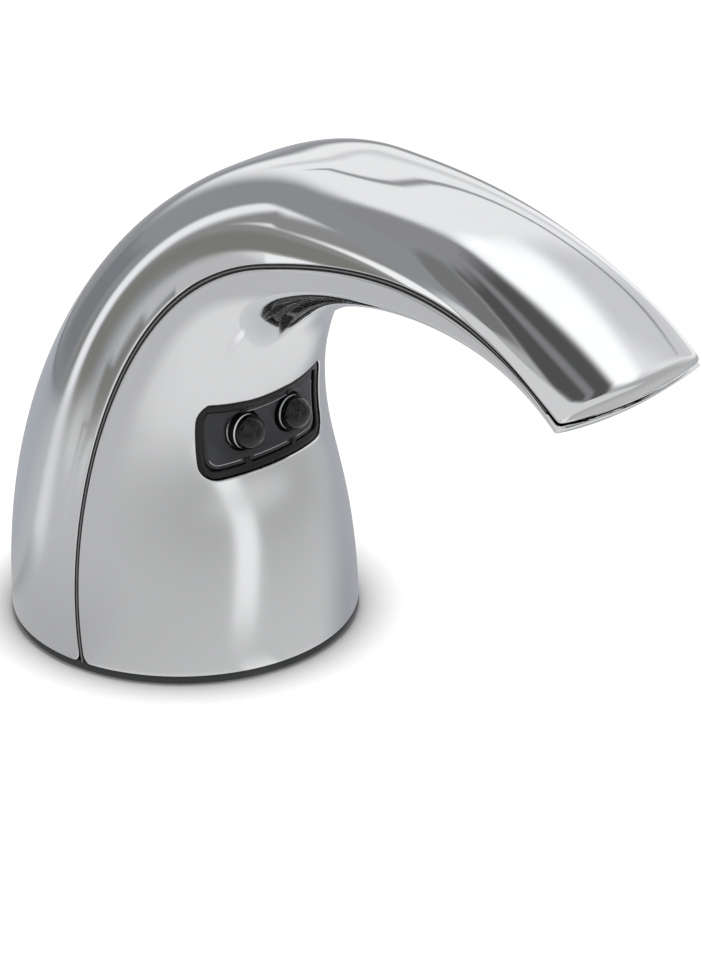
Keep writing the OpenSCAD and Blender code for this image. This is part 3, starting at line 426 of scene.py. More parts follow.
class Socket:
    """A shader socket whose operators add Math nodes."""

    def __init__(self, tree: "Shader", out: bpy.types.NodeSocket) -> None:
        """Wraps an output socket of a tree."""
        self.tree = tree
        self.out = out

    def math(self, operation: str, *values: Any) -> "Socket":
        """Adds a Math node on this socket and further values."""
        return self.tree.node("ShaderNodeMath", {"operation": operation},
                              {i: v for i, v in enumerate((self, *values))})

    def __add__(self, other: Any) -> "Socket":
        """Sum."""
        return self.math("ADD", other)

    __radd__ = __add__

    def __mul__(self, other: Any) -> "Socket":
        """Product."""
        return self.math("MULTIPLY", other)

    __rmul__ = __mul__

    def __sub__(self, other: Any) -> "Socket":
        """Difference."""
        return self.math("SUBTRACT", other)

    def __rsub__(self, other: Any) -> "Socket":
        """Difference from a number."""
        return self.tree.node("ShaderNodeMath", {"operation": "SUBTRACT"}, {0: other, 1: self})

    def __truediv__(self, other: Any) -> "Socket":
        """Quotient."""
        return self.math("DIVIDE", other)

    def step(self, low: float, high: float) -> "Socket":
        """Smooth step from 0 at low to 1 at high."""
        return self.tree.node("ShaderNodeMapRange", {"interpolation_type": "SMOOTHSTEP"},
                              {"Value": self, "From Min": low, "From Max": high})

    def above(self, edge: float, soft: float) -> "Socket":
        """1 above an edge, with a soft change."""
        return self.step(edge - soft / 2, edge + soft / 2)

    def below(self, edge: float, soft: float) -> "Socket":
        """1 below an edge, with a soft change."""
        return 1 - self.above(edge, soft)

    def off(self, turn: float) -> "Socket":
        """How far a turn in degrees lies from another, the short way round."""
        return (self - turn).math("WRAP", 180, -180).math("ABSOLUTE")

    def heading(self, y: "Socket") -> "Socket":
        """Turn in degrees of this x and a y, 0 in front of the spout."""
        return self.math("ARCTAN2", y * -1) * DEGREES


class Shader:
    """A node tree of a material or the world."""

    def __init__(self, owner: bpy.types.Material | bpy.types.World) -> None:
        """Empties the owner's tree."""
        owner.use_nodes = True
        self.tree = owner.node_tree
        self.tree.nodes.clear()

    def node(self, kind: str, settings: Mapping[str, Any] | None = None,
             sockets: Mapping[str | int, Any] | None = None, out: str | int = 0) -> Socket:
        """Adds a node.

        Args:
            kind: The node's type.
            settings: Its properties, set first; "stops" fills a colour ramp.
            sockets: Values or links of its inputs, by name or number.
            out: The output to give back.

        Returns:
            The wrapped output, or the node's first input where it has none.
        """
        made = self.tree.nodes.new(kind)
        for key, value in (settings or {}).items():
            if key == "stops":
                ramp = made.color_ramp.elements
                while len(ramp) < len(value):
                    ramp.new(0.5)
                for stop, (at, colour) in zip(ramp, value):
                    stop.position, stop.color = at, colour
            else:
                setattr(made, key, value)
        for key, value in (sockets or {}).items():
            if isinstance(value, Socket):
                self.tree.links.new(value.out, made.inputs[key])
            else:
                made.inputs[key].default_value = value
        return Socket(self, made.outputs[out] if len(made.outputs) else made.inputs[0])

    def mix(self, share: Any, one: Any, two: Any) -> Socket:
        """Blends two colours."""
        return self.node("ShaderNodeMix", {"data_type": "RGBA"}, {0: share, 6: one, 7: two}, out=2)

    def noise(self, where: Socket, scale: float, detail: float = 3.0) -> Socket:
        """Noise from 0 to 1 at a scale per metre."""
        return self.node("ShaderNodeTexNoise", {}, {"Vector": where, "Scale": scale, "Detail": detail})

    def stretched(self, where: Socket, factors: Point) -> Socket:
        """Coordinates scaled along each axis."""
        return self.node("ShaderNodeVectorMath", {"operation": "MULTIPLY"}, {0: where, 1: factors})


def rgba(colour: float | Point, gain: float = 1.0) -> tuple[float, float, float, float]:
    """Colour, or a grey, with full alpha."""
    red, green, blue = (colour,) * 3 if isinstance(colour, float) else colour
    return red * gain, green * gain, blue * gain, 1.0


class Grain(Enum):
    """How a finish varies over its surface."""

    POLISHED = "fine polishing haze"
    BRUSHED = "long scratches"
    MOULDED = "even spark texture"
    TRACED = "copper tracks under a mask"
    RIBBED = "parallel cores"


@dataclass(frozen=True)
class Finish:
    """A surface finish: colour, gloss and the detail that the real one shows, with an optional painted shade towards
    the foot.
    """

    name: str
    colour: Point
    roughness: float = 0.4
    metallic: float = 0.0
    grain: Grain = Grain.MOULDED
    scale: float = 2500.0
    relief: float = 0.00002
    uneven: float = 0.10
    haze: float = 0.08
    coat: float = 0.0
    clear: float = 0.0
    ior: float = 1.5
    lengthwise: Point = (1.0, 1.0, 1.0)
    satin: float = 0.0
    satin_span: Flat = (0.056, 0.084)
    # Darkens the colour near the foot: painted shade of the floor contact, not a real coating
    painted_foot_shade: float = 0.0
    painted_foot_shade_span: Flat = (0.004, 0.034)

    def pattern(self, shader: Shader, where: Socket) -> tuple[Socket, Socket]:
        """Detail of the surface.

        Args:
            shader: The tree to add to.
            where: Object coordinates.

        Returns:
            The height for the bump and the broad unevenness of the colour, each 0 to 1.
        """
        broad = shader.noise(where, 60.0, 4.0)
        if self.grain is Grain.BRUSHED:
            return shader.noise(shader.stretched(where, self.lengthwise), self.scale, 5.0), broad
        if self.grain is Grain.TRACED:
            tracks = shader.node("ShaderNodeTexBrick", {"offset": 0.35}, {
                "Vector": where, "Scale": self.scale, "Color1": (0, 0, 0, 1), "Color2": (0.3, 0.3, 0.3, 1),
                "Mortar": (1, 1, 1, 1), "Mortar Size": 0.035}, out=1)
            return tracks, tracks * 0.8 + broad * 0.2
        if self.grain is Grain.RIBBED:
            ribs = shader.node("ShaderNodeTexWave", {"bands_direction": "Z"}, {"Vector": where, "Scale": self.scale})
            return shader.node("ShaderNodeSeparateColor", {}, {0: ribs}), broad
        return shader.noise(where, self.scale, 2.0), broad

    def build(self) -> bpy.types.Material:
        """Makes the material."""
        made = bpy.data.materials.new(self.name)
        shader = Shader(made)
        where = shader.node("ShaderNodeTexCoord", out="Object")
        fine, broad = self.pattern(shader, where)
        tone = shader.mix(broad, rgba(self.colour, 1 - self.uneven), rgba(self.colour, 1 + self.uneven))
        gloss = self.roughness + self.haze * (fine * 0.4 + broad * 0.6 - 0.5)
        if self.satin:
            height = shader.node("ShaderNodeSeparateXYZ", {}, {0: where}, out=2)
            gloss = gloss + self.satin * (1 - height.step(*self.satin_span))
            # Painted shade: the colour darkens towards the foot, where the floor shades the base
            tone = shader.mix(self.painted_foot_shade * (1 - height.step(*self.painted_foot_shade_span)), tone, (0, 0, 0, 1))
        bump = shader.node("ShaderNodeBump", {}, {"Strength": 0.6, "Distance": self.relief, "Height": fine})
        surface = shader.node("ShaderNodeBsdfPrincipled", {}, {
            "Base Color": tone, "Metallic": self.metallic, "Roughness": gloss, "Normal": bump,
            "IOR": self.ior, "Coat Weight": self.coat, "Coat Roughness": 0.06,
            "Transmission Weight": self.clear})
        shader.node("ShaderNodeOutputMaterial", {}, {"Surface": surface})
        return made


class Finishes:
    """The finishes of the dispenser, made once each."""

    # Chrome: satin roughens the foot, and the colour also darkens there as painted shade of the floor contact
    CHROME = Finish("chrome_plate", (0.83, 0.835, 0.845), 0.05, 1.0, Grain.POLISHED, 5200.0, 0.0000012, 0.012, 0.03,
                    satin=0.13, painted_foot_shade=0.14)
    STRIP = Finish("seam_strip_dark", (0.018, 0.018, 0.020), 0.55, scale=3000.0)
    # Paler grey of the seam strip's raised bead: a painted highlight on a real bead
    BEAD_HIGHLIGHT = Finish("seam_bead_painted_highlight", (0.16, 0.16, 0.165), 0.38, scale=3000.0)
    GASKET = Finish("gasket_rubber", (0.026, 0.028, 0.030), 0.6, scale=1800.0, relief=0.00006, uneven=0.25)
    BEZEL = Finish("bezel_gloss_black", (0.008, 0.008, 0.009), 0.24, scale=4000.0, relief=0.000004, ior=1.38)
    SMOKED = Finish("smoked_cover", (0.026, 0.027, 0.031), 0.20, scale=3000.0, relief=0.000006, coat=0.1, ior=1.42)
    # Pale grey of the cover's raised rib: a painted highlight of the plate's edge
    RIB_HIGHLIGHT = Finish("cover_rib_painted_highlight", (0.42, 0.43, 0.45), 0.3, scale=3000.0)
    LENS = Finish("lens_clear", (0.93, 0.95, 0.97), 0.03, scale=2500.0, relief=0.0000004, uneven=0.01, haze=0.02,
                  clear=1.0, ior=1.46)
    PALE = Finish("pale_neck", (0.95, 0.95, 0.96), 0.30, 0.0, Grain.POLISHED, 3000.0, 0.000004, 0.03, 0.06)
    BY_SLOT: Mapping[str, Finish] = {
        "gasket_rubber": GASKET,
        "zinc": Finish("cast_zinc", (0.52, 0.53, 0.55), 0.42, 1.0, Grain.MOULDED, 1600.0, 0.00004, 0.12, 0.2),
        "screw_steel": Finish("plated_screw", (0.62, 0.62, 0.60), 0.30, 1.0, Grain.BRUSHED, 2600.0, 0.00001,
                              0.1, 0.15, lengthwise=(1, 1, 6)),
        "black_matte": Finish("moulded_black", (0.02, 0.02, 0.022), 0.45),
        "diode_dark": Finish("diode_resin", (0.022, 0.014, 0.030), 0.12, scale=4000.0, relief=0.000004, coat=0.5),
        "board_green": Finish("masked_board", (0.02, 0.16, 0.07), 0.36, grain=Grain.TRACED, scale=260.0,
                              relief=0.00003, uneven=0.35, coat=0.2),
        "ribbon_grey": Finish("ribbon_cable", (0.42, 0.43, 0.45), 0.5, grain=Grain.RIBBED, scale=260.0,
                              relief=0.00025),
        "pump_white": Finish("natural_nylon", (0.74, 0.73, 0.68), 0.42, scale=2200.0, relief=0.00003, uneven=0.05),
        "tube_silicone": Finish("silicone_tube", (0.70, 0.71, 0.67), 0.34, scale=900.0, relief=0.00002, uneven=0.05,
                                coat=0.15),
        "fitting_white": Finish("moulded_fitting", (0.78, 0.78, 0.75), 0.26, scale=2600.0, relief=0.000012,
                                uneven=0.04),
        "gear_white": Finish("acetal_gear", (0.80, 0.78, 0.72), 0.34, scale=2400.0, relief=0.00002, uneven=0.04),
        "roller_steel": Finish("turned_steel", (0.60, 0.61, 0.63), 0.24, 1.0, Grain.BRUSHED, 1500.0, 0.000012,
                               0.08, 0.16, lengthwise=(0.5, 0.5, 8)),
        "pinion_brass": Finish("cut_brass", (0.72, 0.52, 0.20), 0.26, 1.0, Grain.BRUSHED, 1800.0, 0.000012,
                               0.1, 0.15, lengthwise=(1, 1, 5)),
        "motor_steel": Finish("drawn_can", (0.58, 0.59, 0.61), 0.30, 1.0, Grain.BRUSHED, 900.0, 0.00001, 0.1, 0.18,
                              lengthwise=(4, 4, 0.4)),
        "lead_black": Finish("lead_sheath", (0.015, 0.015, 0.016), 0.42, scale=2600.0),
        "chip_black": Finish("chip_resin", (0.020, 0.020, 0.022), 0.5, scale=3200.0, relief=0.00004, uneven=0.2),
    }

    def __init__(self) -> None:
        """Starts with nothing made."""
        self.made: dict[str, bpy.types.Material] = {}

    def get(self, finish: Finish) -> bpy.types.Material:
        """The material of a finish."""
        if finish.name not in self.made:
            self.made[finish.name] = finish.build()
        return self.made[finish.name]


def seat(piece: bpy.types.Object, slot: str, *nodes: str) -> bpy.types.Object:
    """Fixes a piece to the housing.

    Args:
        piece: The new piece.
        slot: The record's slot for its finish; not used.
        nodes: The solids that it stands for.

    Returns:
        The piece.
    """
    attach(piece, BODY)
    if nodes:
        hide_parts(*nodes)
    log.info("%s: %d faces", piece.name, len(piece.data.polygons))
    return piece


@dataclass(frozen=True)
class Hole:
    """A hole through the front shell: its rings from outside to inside.

    The outer and inner rings hold (turn share, station, point).
    """

    outer: Ring
    bevel: list[list[Point]]
    inner: Ring


@dataclass
class Sheet:
    """One half of the casing as a sheet from seam to seam."""

    side: Side
    edge_r: float = 0.5
    rim_r: float = 0.45
    ease: float = 0.045
    corner_r: float = 2.0
    rate: float = 140.0
    columns: int = 96
    coarse: int = 24
    flat_size: Flat = (60.0, 100.0)
    hole_gap: float = 0.45
    outline: Outline = OUTLINE

    def rows(self) -> list[float]:
        """Stations of the rows: close at the base's rounded rim and at the tip."""
        o = self.outline
        rim = [self.rim_r * (1 - math.cos(math.radians(f))) / self.rate for f in (0, 22.5, 45, 67.5, 90)]
        low = [0.0055, 0.0085, 0.0125, 0.018]
        body = [t for t in spread(0, o.nose_station, 160) if t > 0.02]
        nose = [o.nose_station + (2 - o.nose_station) * math.sin(math.radians(90 * i / 12)) for i in range(1, 13)]
        return rim + low + body + nose

    def end_turn(self, t: float, inset: float) -> float:
        """Turn at an inset from the seam edge; the edge flares at the base's corner."""
        o, k = self.outline, self.side.value
        flare = quarter(self.corner_r, t * self.rate)
        return o.turn_at(t, o.seam_shift(t) + k * (o.seam_gap / 2 + inset + flare))

    def turn(self, g: float, t: float, inset: float) -> float:
        """Turn at a share g, from 0 on the middle line to 1 at the seam."""
        end = self.end_turn(t, inset)
        return end + (self.side.value * 90 - end) * (1 - abs(g))

    def share(self, a: float, t: float, inset: float) -> float:
        """Share g of a turn."""
        end = self.end_turn(t, inset)
        return 1 - (a - end) / (self.side.value * 90 - end)

    def place(self, g: float, t: float, depth: float, inset: float) -> Point:
        """Point in the wall.

        Args:
            g: Share from seam to seam, -1 to 1.
            t: Station.
            depth: Depth under the outer surface, 0 to the wall.
            inset: Set-back from the seam edge.

        Returns:
            The point in mm.
        """
        o = self.outline
        rim = quarter(self.rim_r, t * self.rate)
        deep = rim + self.ease + depth * (o.wall - 2 * rim - self.ease) / o.wall
        a = self.turn(g, t, inset)
        p = o.under(t, a, deep)
        closed = depth / o.wall * smooth((t - o.hollow_station) / o.hollow_fade)
        if closed > 0:
            width, _ = o.section(t, a)
            edge = o.seam_shift(t) + self.side.value * o.seam_gap / 2
            q = o.spot(t, (1 - o.wall / o.station(t).half_width) * width, edge)
            p = tuple(u + closed * (v - u) for u, v in zip(p, q))
        return (math.copysign(p[0], g) if g else 0.0, p[1], p[2])

    def normal(self, g: float, t: float, inset: float) -> Vector | None:
        """Exact outer normal, or None in the base's rounded rim."""
        if t * self.rate < self.rim_r:
            return None
        n = self.outline.normal(t, self.turn(g, t, inset))
        return Vector((n.x * math.copysign(1, g) if g else 0.0, n.y, n.z)).normalized()

    def patch(self, work: Patchwork, rows: Sequence[float], columns: Sequence[float], depth: float,
              inset: float, holes: Sequence[Ring]) -> list[list[int]]:
        """Fills a sheet with quads, and with triangles round its holes.

        Args:
            work: The piece.
            rows: Stations.
            columns: Shares.
            depth: Depth of the sheet.
            inset: Set-back of its long edges.
            holes: A ring of (share, station, point) for each hole.

        Returns:
            The numbers of the grid's points, by row.
        """
        shown = depth == 0
        wide, tall = self.flat_size
        inside = [self.cells(rows, columns, ring) for ring in holes]

        def point(i: int, j: int) -> int:
            g, t = columns[j], rows[i]
            return work.add(self.place(g, t, depth, inset), self.normal(g, t, inset) if shown else None)

        def hidden(i: int, j: int) -> bool:
            return any(r0 < i < r1 and c0 < j < c1 and within((columns[j], rows[i]), ring)
                       for (r0, r1, c0, c1), ring in zip(inside, holes))

        grid = [[-1 if hidden(i, j) else point(i, j) for j in range(len(columns))] for i in range(len(rows))]
        for i in range(len(rows) - 1):
            for j in range(len(columns) - 1):
                if not any(r0 <= i < r1 and c0 <= j < c1 for r0, r1, c0, c1 in inside):
                    work.face([grid[i][j], grid[i][j + 1], grid[i + 1][j + 1], grid[i + 1][j]])
        for (r0, r1, c0, c1), ring in zip(inside, holes):
            flat = [Vector((g * wide, t * tall)) for g, t, _ in ring]
            numbers = []
            for g, t, p in ring:
                numbers.append(work.add(p, self.normal(g, t, inset) if shown else None))
            loop = [(k, (k + 1) % len(ring)) for k in range(len(ring))]
            for i in range(r0, r1 + 1):
                for j in range(c0, c1 + 1):
                    here = Vector((columns[j] * wide, rows[i] * tall))
                    rim = i in (r0, r1) or j in (c0, c1)
                    if grid[i][j] >= 0 and (rim or min((here - f).length for f in flat[:len(ring)]) > self.hole_gap):
                        flat.append(here)
                        numbers.append(grid[i][j])
            work.fill(flat, numbers, loop, lambda p, ring=ring: not within((p[0] / wide, p[1] / tall), ring))
        return grid

    @staticmethod
    def cells(rows: Sequence[float], columns: Sequence[float],
              ring: Ring) -> tuple[int, int, int, int]:
        """First and last row and column of the block of cells round a hole."""
        gs, ts = [g for g, _, _ in ring], [t for _, t, _ in ring]
        r0 = max(i for i, t in enumerate(rows) if t < min(ts)) - 1
        r1 = min(i for i, t in enumerate(rows) if t > max(ts)) + 1
        c0 = max(j for j, g in enumerate(columns) if g < min(gs)) - 1
        c1 = min(j for j, g in enumerate(columns) if g > max(gs)) + 1
        return r0, r1, c0, c1

    def build(self, work: Patchwork, holes: Sequence[Hole] = ()) -> None:
        """Builds the closed wall.

        Args:
            work: The piece.
            holes: Holes through it.
        """
        o, r = self.outline, self.edge_r
        rows = self.rows()
        outer = self.patch(work, rows, spread(-1, 1, self.columns), 0, r, [h.outer for h in holes])
        inner = self.patch(work, rows, spread(-1, 1, self.coarse), o.wall, 0, [h.inner for h in holes])
        for sign, end in ((-1, 0), (1, -1)):
            lips = []
            for i, t in enumerate(rows):
                lip = [outer[i][end]]
                for f in (22.5, 45, 67.5, 90):
                    a = math.radians(f)
                    lip.append(work.add(self.place(sign, t, r * (1 - math.cos(a)), r * (1 - math.sin(a)))))
                lips.append([*lip, inner[i][end]])
            for one, two in zip(lips, lips[1:]):
                work.strip(one, two)
            work.face(lips[0])
            work.face(lips[-1])
        for i in (0, -1):
            work.fan(outer[i], inner[i])
        for h in holes:
            ends = [[work.add(p) for _, _, p in ring] for ring in (h.outer, h.inner)]
            work.rings([ends[0], *[[work.add(p) for p in ring] for ring in h.bevel], ends[1]])


def within(p: Flat, ring: Ring) -> bool:
    """Whether a flat point lies inside a ring."""
    inside = False
    for k, (x1, y1, _) in enumerate(ring):
        x0, y0, _ = ring[k - 1]
        if (y0 > p[1]) != (y1 > p[1]) and p[0] < x0 + (p[1] - y0) * (x1 - x0) / (y1 - y0):
            inside = not inside
    return inside


def rounded_hole(sheet: Sheet, ring: Callable[[float, float, float], Ring],
                 size: float, bevel: float, steps: int) -> Hole:
    """A hole with a rounded outer edge.

    Args:
        sheet: The wall.
        ring: Gives a ring for a size, a depth and an inset.
        size: The hole's own size.
        bevel: Radius of the rounding.
        steps: Rings in the rounding.

    Returns:
        The hole.
    """
    rings = []
    for k in range(1, steps + 1):
        a = math.radians(90 * k / steps)
        rings.append([p for _, _, p in ring(size + bevel * (1 - math.sin(a)), bevel * (1 - math.cos(a)), 0)])
    return Hole(ring(size + bevel, 0, sheet.edge_r), rings, ring(size, sheet.outline.wall, 0))


@dataclass
class Shells:
    """The two chromed halves of the casing with their screw bosses."""

    window: "SensorWindow"
    nozzle_r: float = 4.65
    nozzle_y: float = -112.25
    nozzle_station: float = 1.65
    nozzle_bevel: float = 0.4
    boss_turn: float = 25.0
    boss_place_r: float = 34.0
    boss_r: float = 4.0
    boss_bore: float = 1.5
    boss_foot: float = 6.2
    boss_h: float = 8.0

    def nozzle_hole(self, sheet: Sheet) -> Hole:
        """Round hole for the nozzle in the underside."""
        def ring(radius: float, depth: float, inset: float) -> Ring:
            found, guess = [], (0.1, self.nozzle_station)
            for k in range(40):
                a = 2 * math.pi * k / 40
                goal = (radius * math.cos(a), self.nozzle_y + radius * math.sin(a))
                guess = solve_front(lambda p: (p[0], p[1]), goal, depth, guess)
                found.append(ring_point(sheet, guess, depth, inset))
            return found

        return rounded_hole(sheet, ring, self.nozzle_r, self.nozzle_bevel, 3)

    def bosses(self, work: Patchwork, side: Side) -> None:
        """Screw bosses inside a shell's base, each with its web to the wall."""
        for x in (-1, 1):
            turn = math.radians(side.value * (90 - x * (90 - self.boss_turn)))
            c, s = math.cos(turn), math.sin(turn)

            def place(u: float, v: float, h: float) -> Point:
                u += self.boss_place_r
                return u * c - v * s, u * s + v * c, self.boss_foot + h

            r, b, h = self.boss_r, self.boss_bore, self.boss_h
            work.lathe([(b, 0), (r - 0.3, 0), (r, 0.3), (r, h - 0.5), (r - 0.5, h), (b, h)], place, 32, wrap=True)
            near, far, half = self.boss_r * 0.8, OUTLINE.base_r - 1.5 - self.boss_place_r, self.boss_r / 2
            rows = [[work.add(place(u, v, k)) for u, v in ((near, -half), (far, -half), (far, half), (near, half))]
                    for k in (0.4, h - 1.2)]
            work.loft(rows)

    def build(self, finishes: Finishes) -> None:
        """Makes both shells."""
        chrome = [finishes.get(Finishes.CHROME)]
        for side, name in ((Side.REAR, "rear_shell"), (Side.FRONT, "front_shell")):
            work, sheet = Patchwork(), Sheet(side)
            holes = [] if side is Side.REAR else [self.window.hole(sheet), self.nozzle_hole(sheet)]
            sheet.build(work, holes)
            self.bosses(work, side)
            seat(work.piece(f"chrome_{name}", chrome), "chrome", name)


def front_turn(way: Flat) -> float:
    """Turn of the front half, in degrees, at a share of the half width and a station."""
    q, t = way
    return -math.degrees(math.acos(min(abs(q), NEAR_ONE) ** (OUTLINE.station(t).low_power / 2)))


def front_place(way: Flat, depth: float) -> Point:
    """Point of the front half by its share of the half width and its station.

    Args:
        way: Share of the half width, -1 to 1, and station.
        depth: Depth under the outer surface.

    Returns:
        The point in mm.
    """
    p = OUTLINE.under(way[1], front_turn(way), depth)
    return math.copysign(p[0], way[0]), p[1], p[2]


def solve_front(measure: Callable[[Point], Flat], goal: Flat, depth: float, guess: Flat) -> Flat:
    """Finds the place on the front half that measures as the goal, by Newton steps.

    Args:
        measure: Gives two numbers for a point.
        goal: The numbers to reach.
        depth: Depth under the outer surface.
        guess: Share of the half width and station to start from.

    Returns:
        The share of the half width and the station.
    """
    q, t = guess
    for _ in range(12):
        here = measure(front_place((q, t), depth))
        miss = (goal[0] - here[0], goal[1] - here[1])
        if abs(miss[0]) + abs(miss[1]) < 1e-6:
            break
        dq, dt = (measure(front_place(way, depth)) for way in ((q + NUDGE, t), (q, t + NUDGE)))
        m = [[(dq[k] - here[k]) / NUDGE, (dt[k] - here[k]) / NUDGE] for k in (0, 1)]
        det = m[0][0] * m[1][1] - m[0][1] * m[1][0]
        q += (miss[0] * m[1][1] - miss[1] * m[0][1]) / det
        t += (miss[1] * m[0][0] - miss[0] * m[1][0]) / det
    return q, t


def ring_point(sheet: Sheet, way: Flat, depth: float, inset: float) -> tuple[float, float, Point]:
    """Sheet coordinates and place of a point of the front half."""
    q, t = way
    return math.copysign(sheet.share(front_turn(way), t, inset), q), t, front_place(way, depth)


@dataclass
class SensorWindow:
    """Black bezel, smoked cover and two clear lenses in the front."""

    spot: Flat = (-30.678, 59.3)
    station: float = 0.39429
    tilt: float = 5.6589
    size: Flat = (40.0, 20.0)
    corner: float = 4.5
    dip: float = 2.6
    border: float = 2.0
    bevel: float = 0.45
    fit: float = 0.15
    recess: float = 0.5
    cover_near: float = 1.0
    cover_deep: float = 2.4
    back: float = 4.1
    lap: float = 2.5
    lens_pitch: float = 14.8
    lens_r: float = 4.2
    lens_depth: float = 4.9
    lens_neck: float = 4.9
    lens_bands: tuple[float, ...] = (0.5, 2.45, 2.9)
    flange: Flat = (5.3, 1.2)
    dish_r: float = 5.1
    highlight_rib_set: float = 0.95
    highlight_rib_w: float = 0.26
    clip_w: float = 1.7
    stud: Point = (19.5, 8.6, 10.0)
    mesh_step: float = 1.5
    mesh_gap: float = 0.6
    reach_guess: Flat = (36.0, 118.0)

    def local(self, p: Point) -> Flat:
        """Place of a point across and up the window."""
        a = math.radians(self.tilt)
        return p[0], (p[1] - self.spot[0]) * math.sin(a) + (p[2] - self.spot[1]) * math.cos(a)

    def deep(self, x: float, z: float, y: float) -> Point:
        """Point at a straight depth behind the window's middle, square to it."""
        a = math.radians(self.tilt)
        return (x, self.spot[0] + y * math.cos(a) + z * math.sin(a),
                self.spot[1] - y * math.sin(a) + z * math.cos(a))

    def way(self, at: Flat, depth: float) -> Flat:
        """Share of the half width and station under a place in the window."""
        across, along = self.reach_guess
        return solve_front(self.local, at, depth, (at[0] / across, self.station + at[1] / along))

    def on(self, at: Flat, depth: float) -> Point:
        """Point at a depth under the surface, at a place in the window."""
        return front_place(self.way(at, depth), depth)

    def top_edge(self, x: float, grow: float) -> float:
        """Height of the window's dipped top edge, grown by a margin."""
        w, h = self.size
        r = (w * w / 4 + self.dip * self.dip) / (2 * self.dip)
        return h / 2 - self.dip + r - math.sqrt((r - grow) ** 2 - x * x)

    def frame_ring(self, grow: float, middle: Flat | None = None, size: Flat | None = None,
                   corner: float | None = None) -> list[Flat]:
        """Rounded rectangle; one round the window's middle follows its dipped top edge.

        Args:
            grow: How far it lies outside the nominal one.
            middle: Its middle, the window's by default.
            size: Its nominal width and height, the window's by default.
            corner: Its nominal corner radius.

        Returns:
            Places round it.
        """
        w, h = size or self.size
        r = max((self.corner if corner is None else corner) + grow, 0.12)
        a, b = w / 2 + grow - r, h / 2 + grow - r
        stops = [(a, b, 0), (-a, b, 90), (-a, -b, 180), (a, -b, 270)]
        places: list[Flat] = []
        for k, (cx, cz, start) in enumerate(stops):
            for f in range(7):
                turn = math.radians(start + 15 * f)
                places.append((cx + r * math.cos(turn), cz + r * math.sin(turn)))
            nx, nz, turn = stops[(k + 1) % 4]
            end = (nx + r * math.cos(math.radians(turn)), nz + r * math.sin(math.radians(turn)))
            steps, last = (16, 6)[k % 2], places[-1]
            places += [(last[0] + (end[0] - last[0]) * i / steps, last[1] + (end[1] - last[1]) * i / steps)
                       for i in range(1, steps)]
        if middle is not None:
            return [(x + middle[0], z + middle[1]) for x, z in places]
        margin = grow + (w - self.size[0]) / 2
        return [(x, min(z, self.top_edge(x, margin))) for x, z in places]

    def hole(self, sheet: Sheet) -> Hole:
        """The window's opening in the front shell."""
        def ring(grow: float, depth: float, inset: float) -> Ring:
            return [ring_point(sheet, self.way(at, depth), depth, inset) for at in self.frame_ring(grow)]

        return rounded_hole(sheet, ring, 0, self.bevel, 4)

    def pad(self, work: Patchwork, middle: Flat, size: Flat, corner: float,
            profile: Sequence[Flat], ink: int = 0) -> None:
        """A small rounded pad that follows the surface.

        Args:
            work: The piece.
            middle, size, corner: Its outline.
            profile: Pairs of growth and depth, from the front to the back.
            ink: The material's number.
        """
        rows = [[work.add(self.on(at, depth)) for at in self.frame_ring(grow, middle, size, corner)]
                for grow, depth in profile]
        work.loft(rows, ink)

    def bezel(self, finishes: Finishes) -> None:
        """Black frame with its hidden flange, screw studs and the clips over the cover."""
        work, b, e = Patchwork(), self.border, self.fit
        profile = [(-e, 1.1), (-e - 0.04, 0.8), (-e - 0.16, 0.6), (-e - 0.4, self.recess), (-b + 0.5, self.recess),
                   (-b + 0.2, 0.56), (-b + 0.04, 0.7), (-b, 0.95), (-b, self.cover_deep + 0.05),
                   (-b - 1, self.cover_deep + 0.05), (-b - 1, self.back), (self.lap, self.back),
                   (self.lap, OUTLINE.wall + 0.3), (-e, OUTLINE.wall + 0.3)]
        rows = [[work.add(self.on(at, depth)) for at in self.frame_ring(grow)] for grow, depth in profile]
        work.rings(rows, wrap=True)
        for x in (-1, 1):
            for z in (-1, 1):
                side = x * self.lens_pitch / 2
                middle = (side, (self.top_edge(side, -b) if z > 0 else b - self.size[1] / 2) - 0.55 * z)
                self.pad(work, middle, (self.clip_w, 1.5), 0.3,
                         [(-0.25, 0.62), (-0.06, 0.68), (0, 0.82), (0, 1.2)])
            stud, near, far = self.stud
            work.lathe([(0.85, near), (2.0, near), (2.0, far), (0.85, far)],
                       lambda u, v, h, x=x: self.deep(x * stud + u, v, h), 24, wrap=True)
        seat(work.piece("bezel_frame", [finishes.get(Finishes.BEZEL)], 50), "black_gloss", "sensor_bezel")

    def cover(self, finishes: Finishes) -> None:
        """Smoked plate with a dished ring round each lens, and the raised rib round it, whose pale grey is a painted
        highlight of its edge.
        """
        work = Patchwork()
        size = (self.size[0] - 2 * self.border - 2 * self.fit, self.size[1] - 2 * self.border - 2 * self.fit)
        corner = self.corner - 1 - self.fit
        near, deep = self.cover_near, self.cover_deep
        edge = [(0, deep), (0, near + 0.3), (-0.08, near + 0.1), (-0.3, near)]
        rims = [[work.add(self.on(at, d)) for at in self.frame_ring(g, size=size, corner=corner)] for g, d in edge]
        work.rings(rims)
        dishes = []
        hole_r = self.lens_r + self.fit
        for x in (-1, 1):
            rings = []
            for r, d in ((self.dish_r, near), (self.dish_r - 0.12, near + 0.06), (self.dish_r - 0.3, near + 0.24),
                         (hole_r + 0.2, near + 0.62), (hole_r + 0.06, near + 0.75), (hole_r, near + 0.9),
                         (hole_r, deep)):
                places = [(x * self.lens_pitch / 2 + r * math.cos(math.radians(7.5 * k)),
                           r * math.sin(math.radians(7.5 * k))) for k in range(48)]
                rings.append((places, [work.add(self.on(at, d)) for at in places]))
            work.rings([numbers for _, numbers in rings], ink=2)
            dishes.append(rings)
        self.plate_face(work, self.frame_ring(-0.3, size=size, corner=corner), rims[-1], [d[0] for d in dishes], near)
        self.plate_face(work, self.frame_ring(0, size=size, corner=corner), rims[0], [d[-1] for d in dishes], deep)
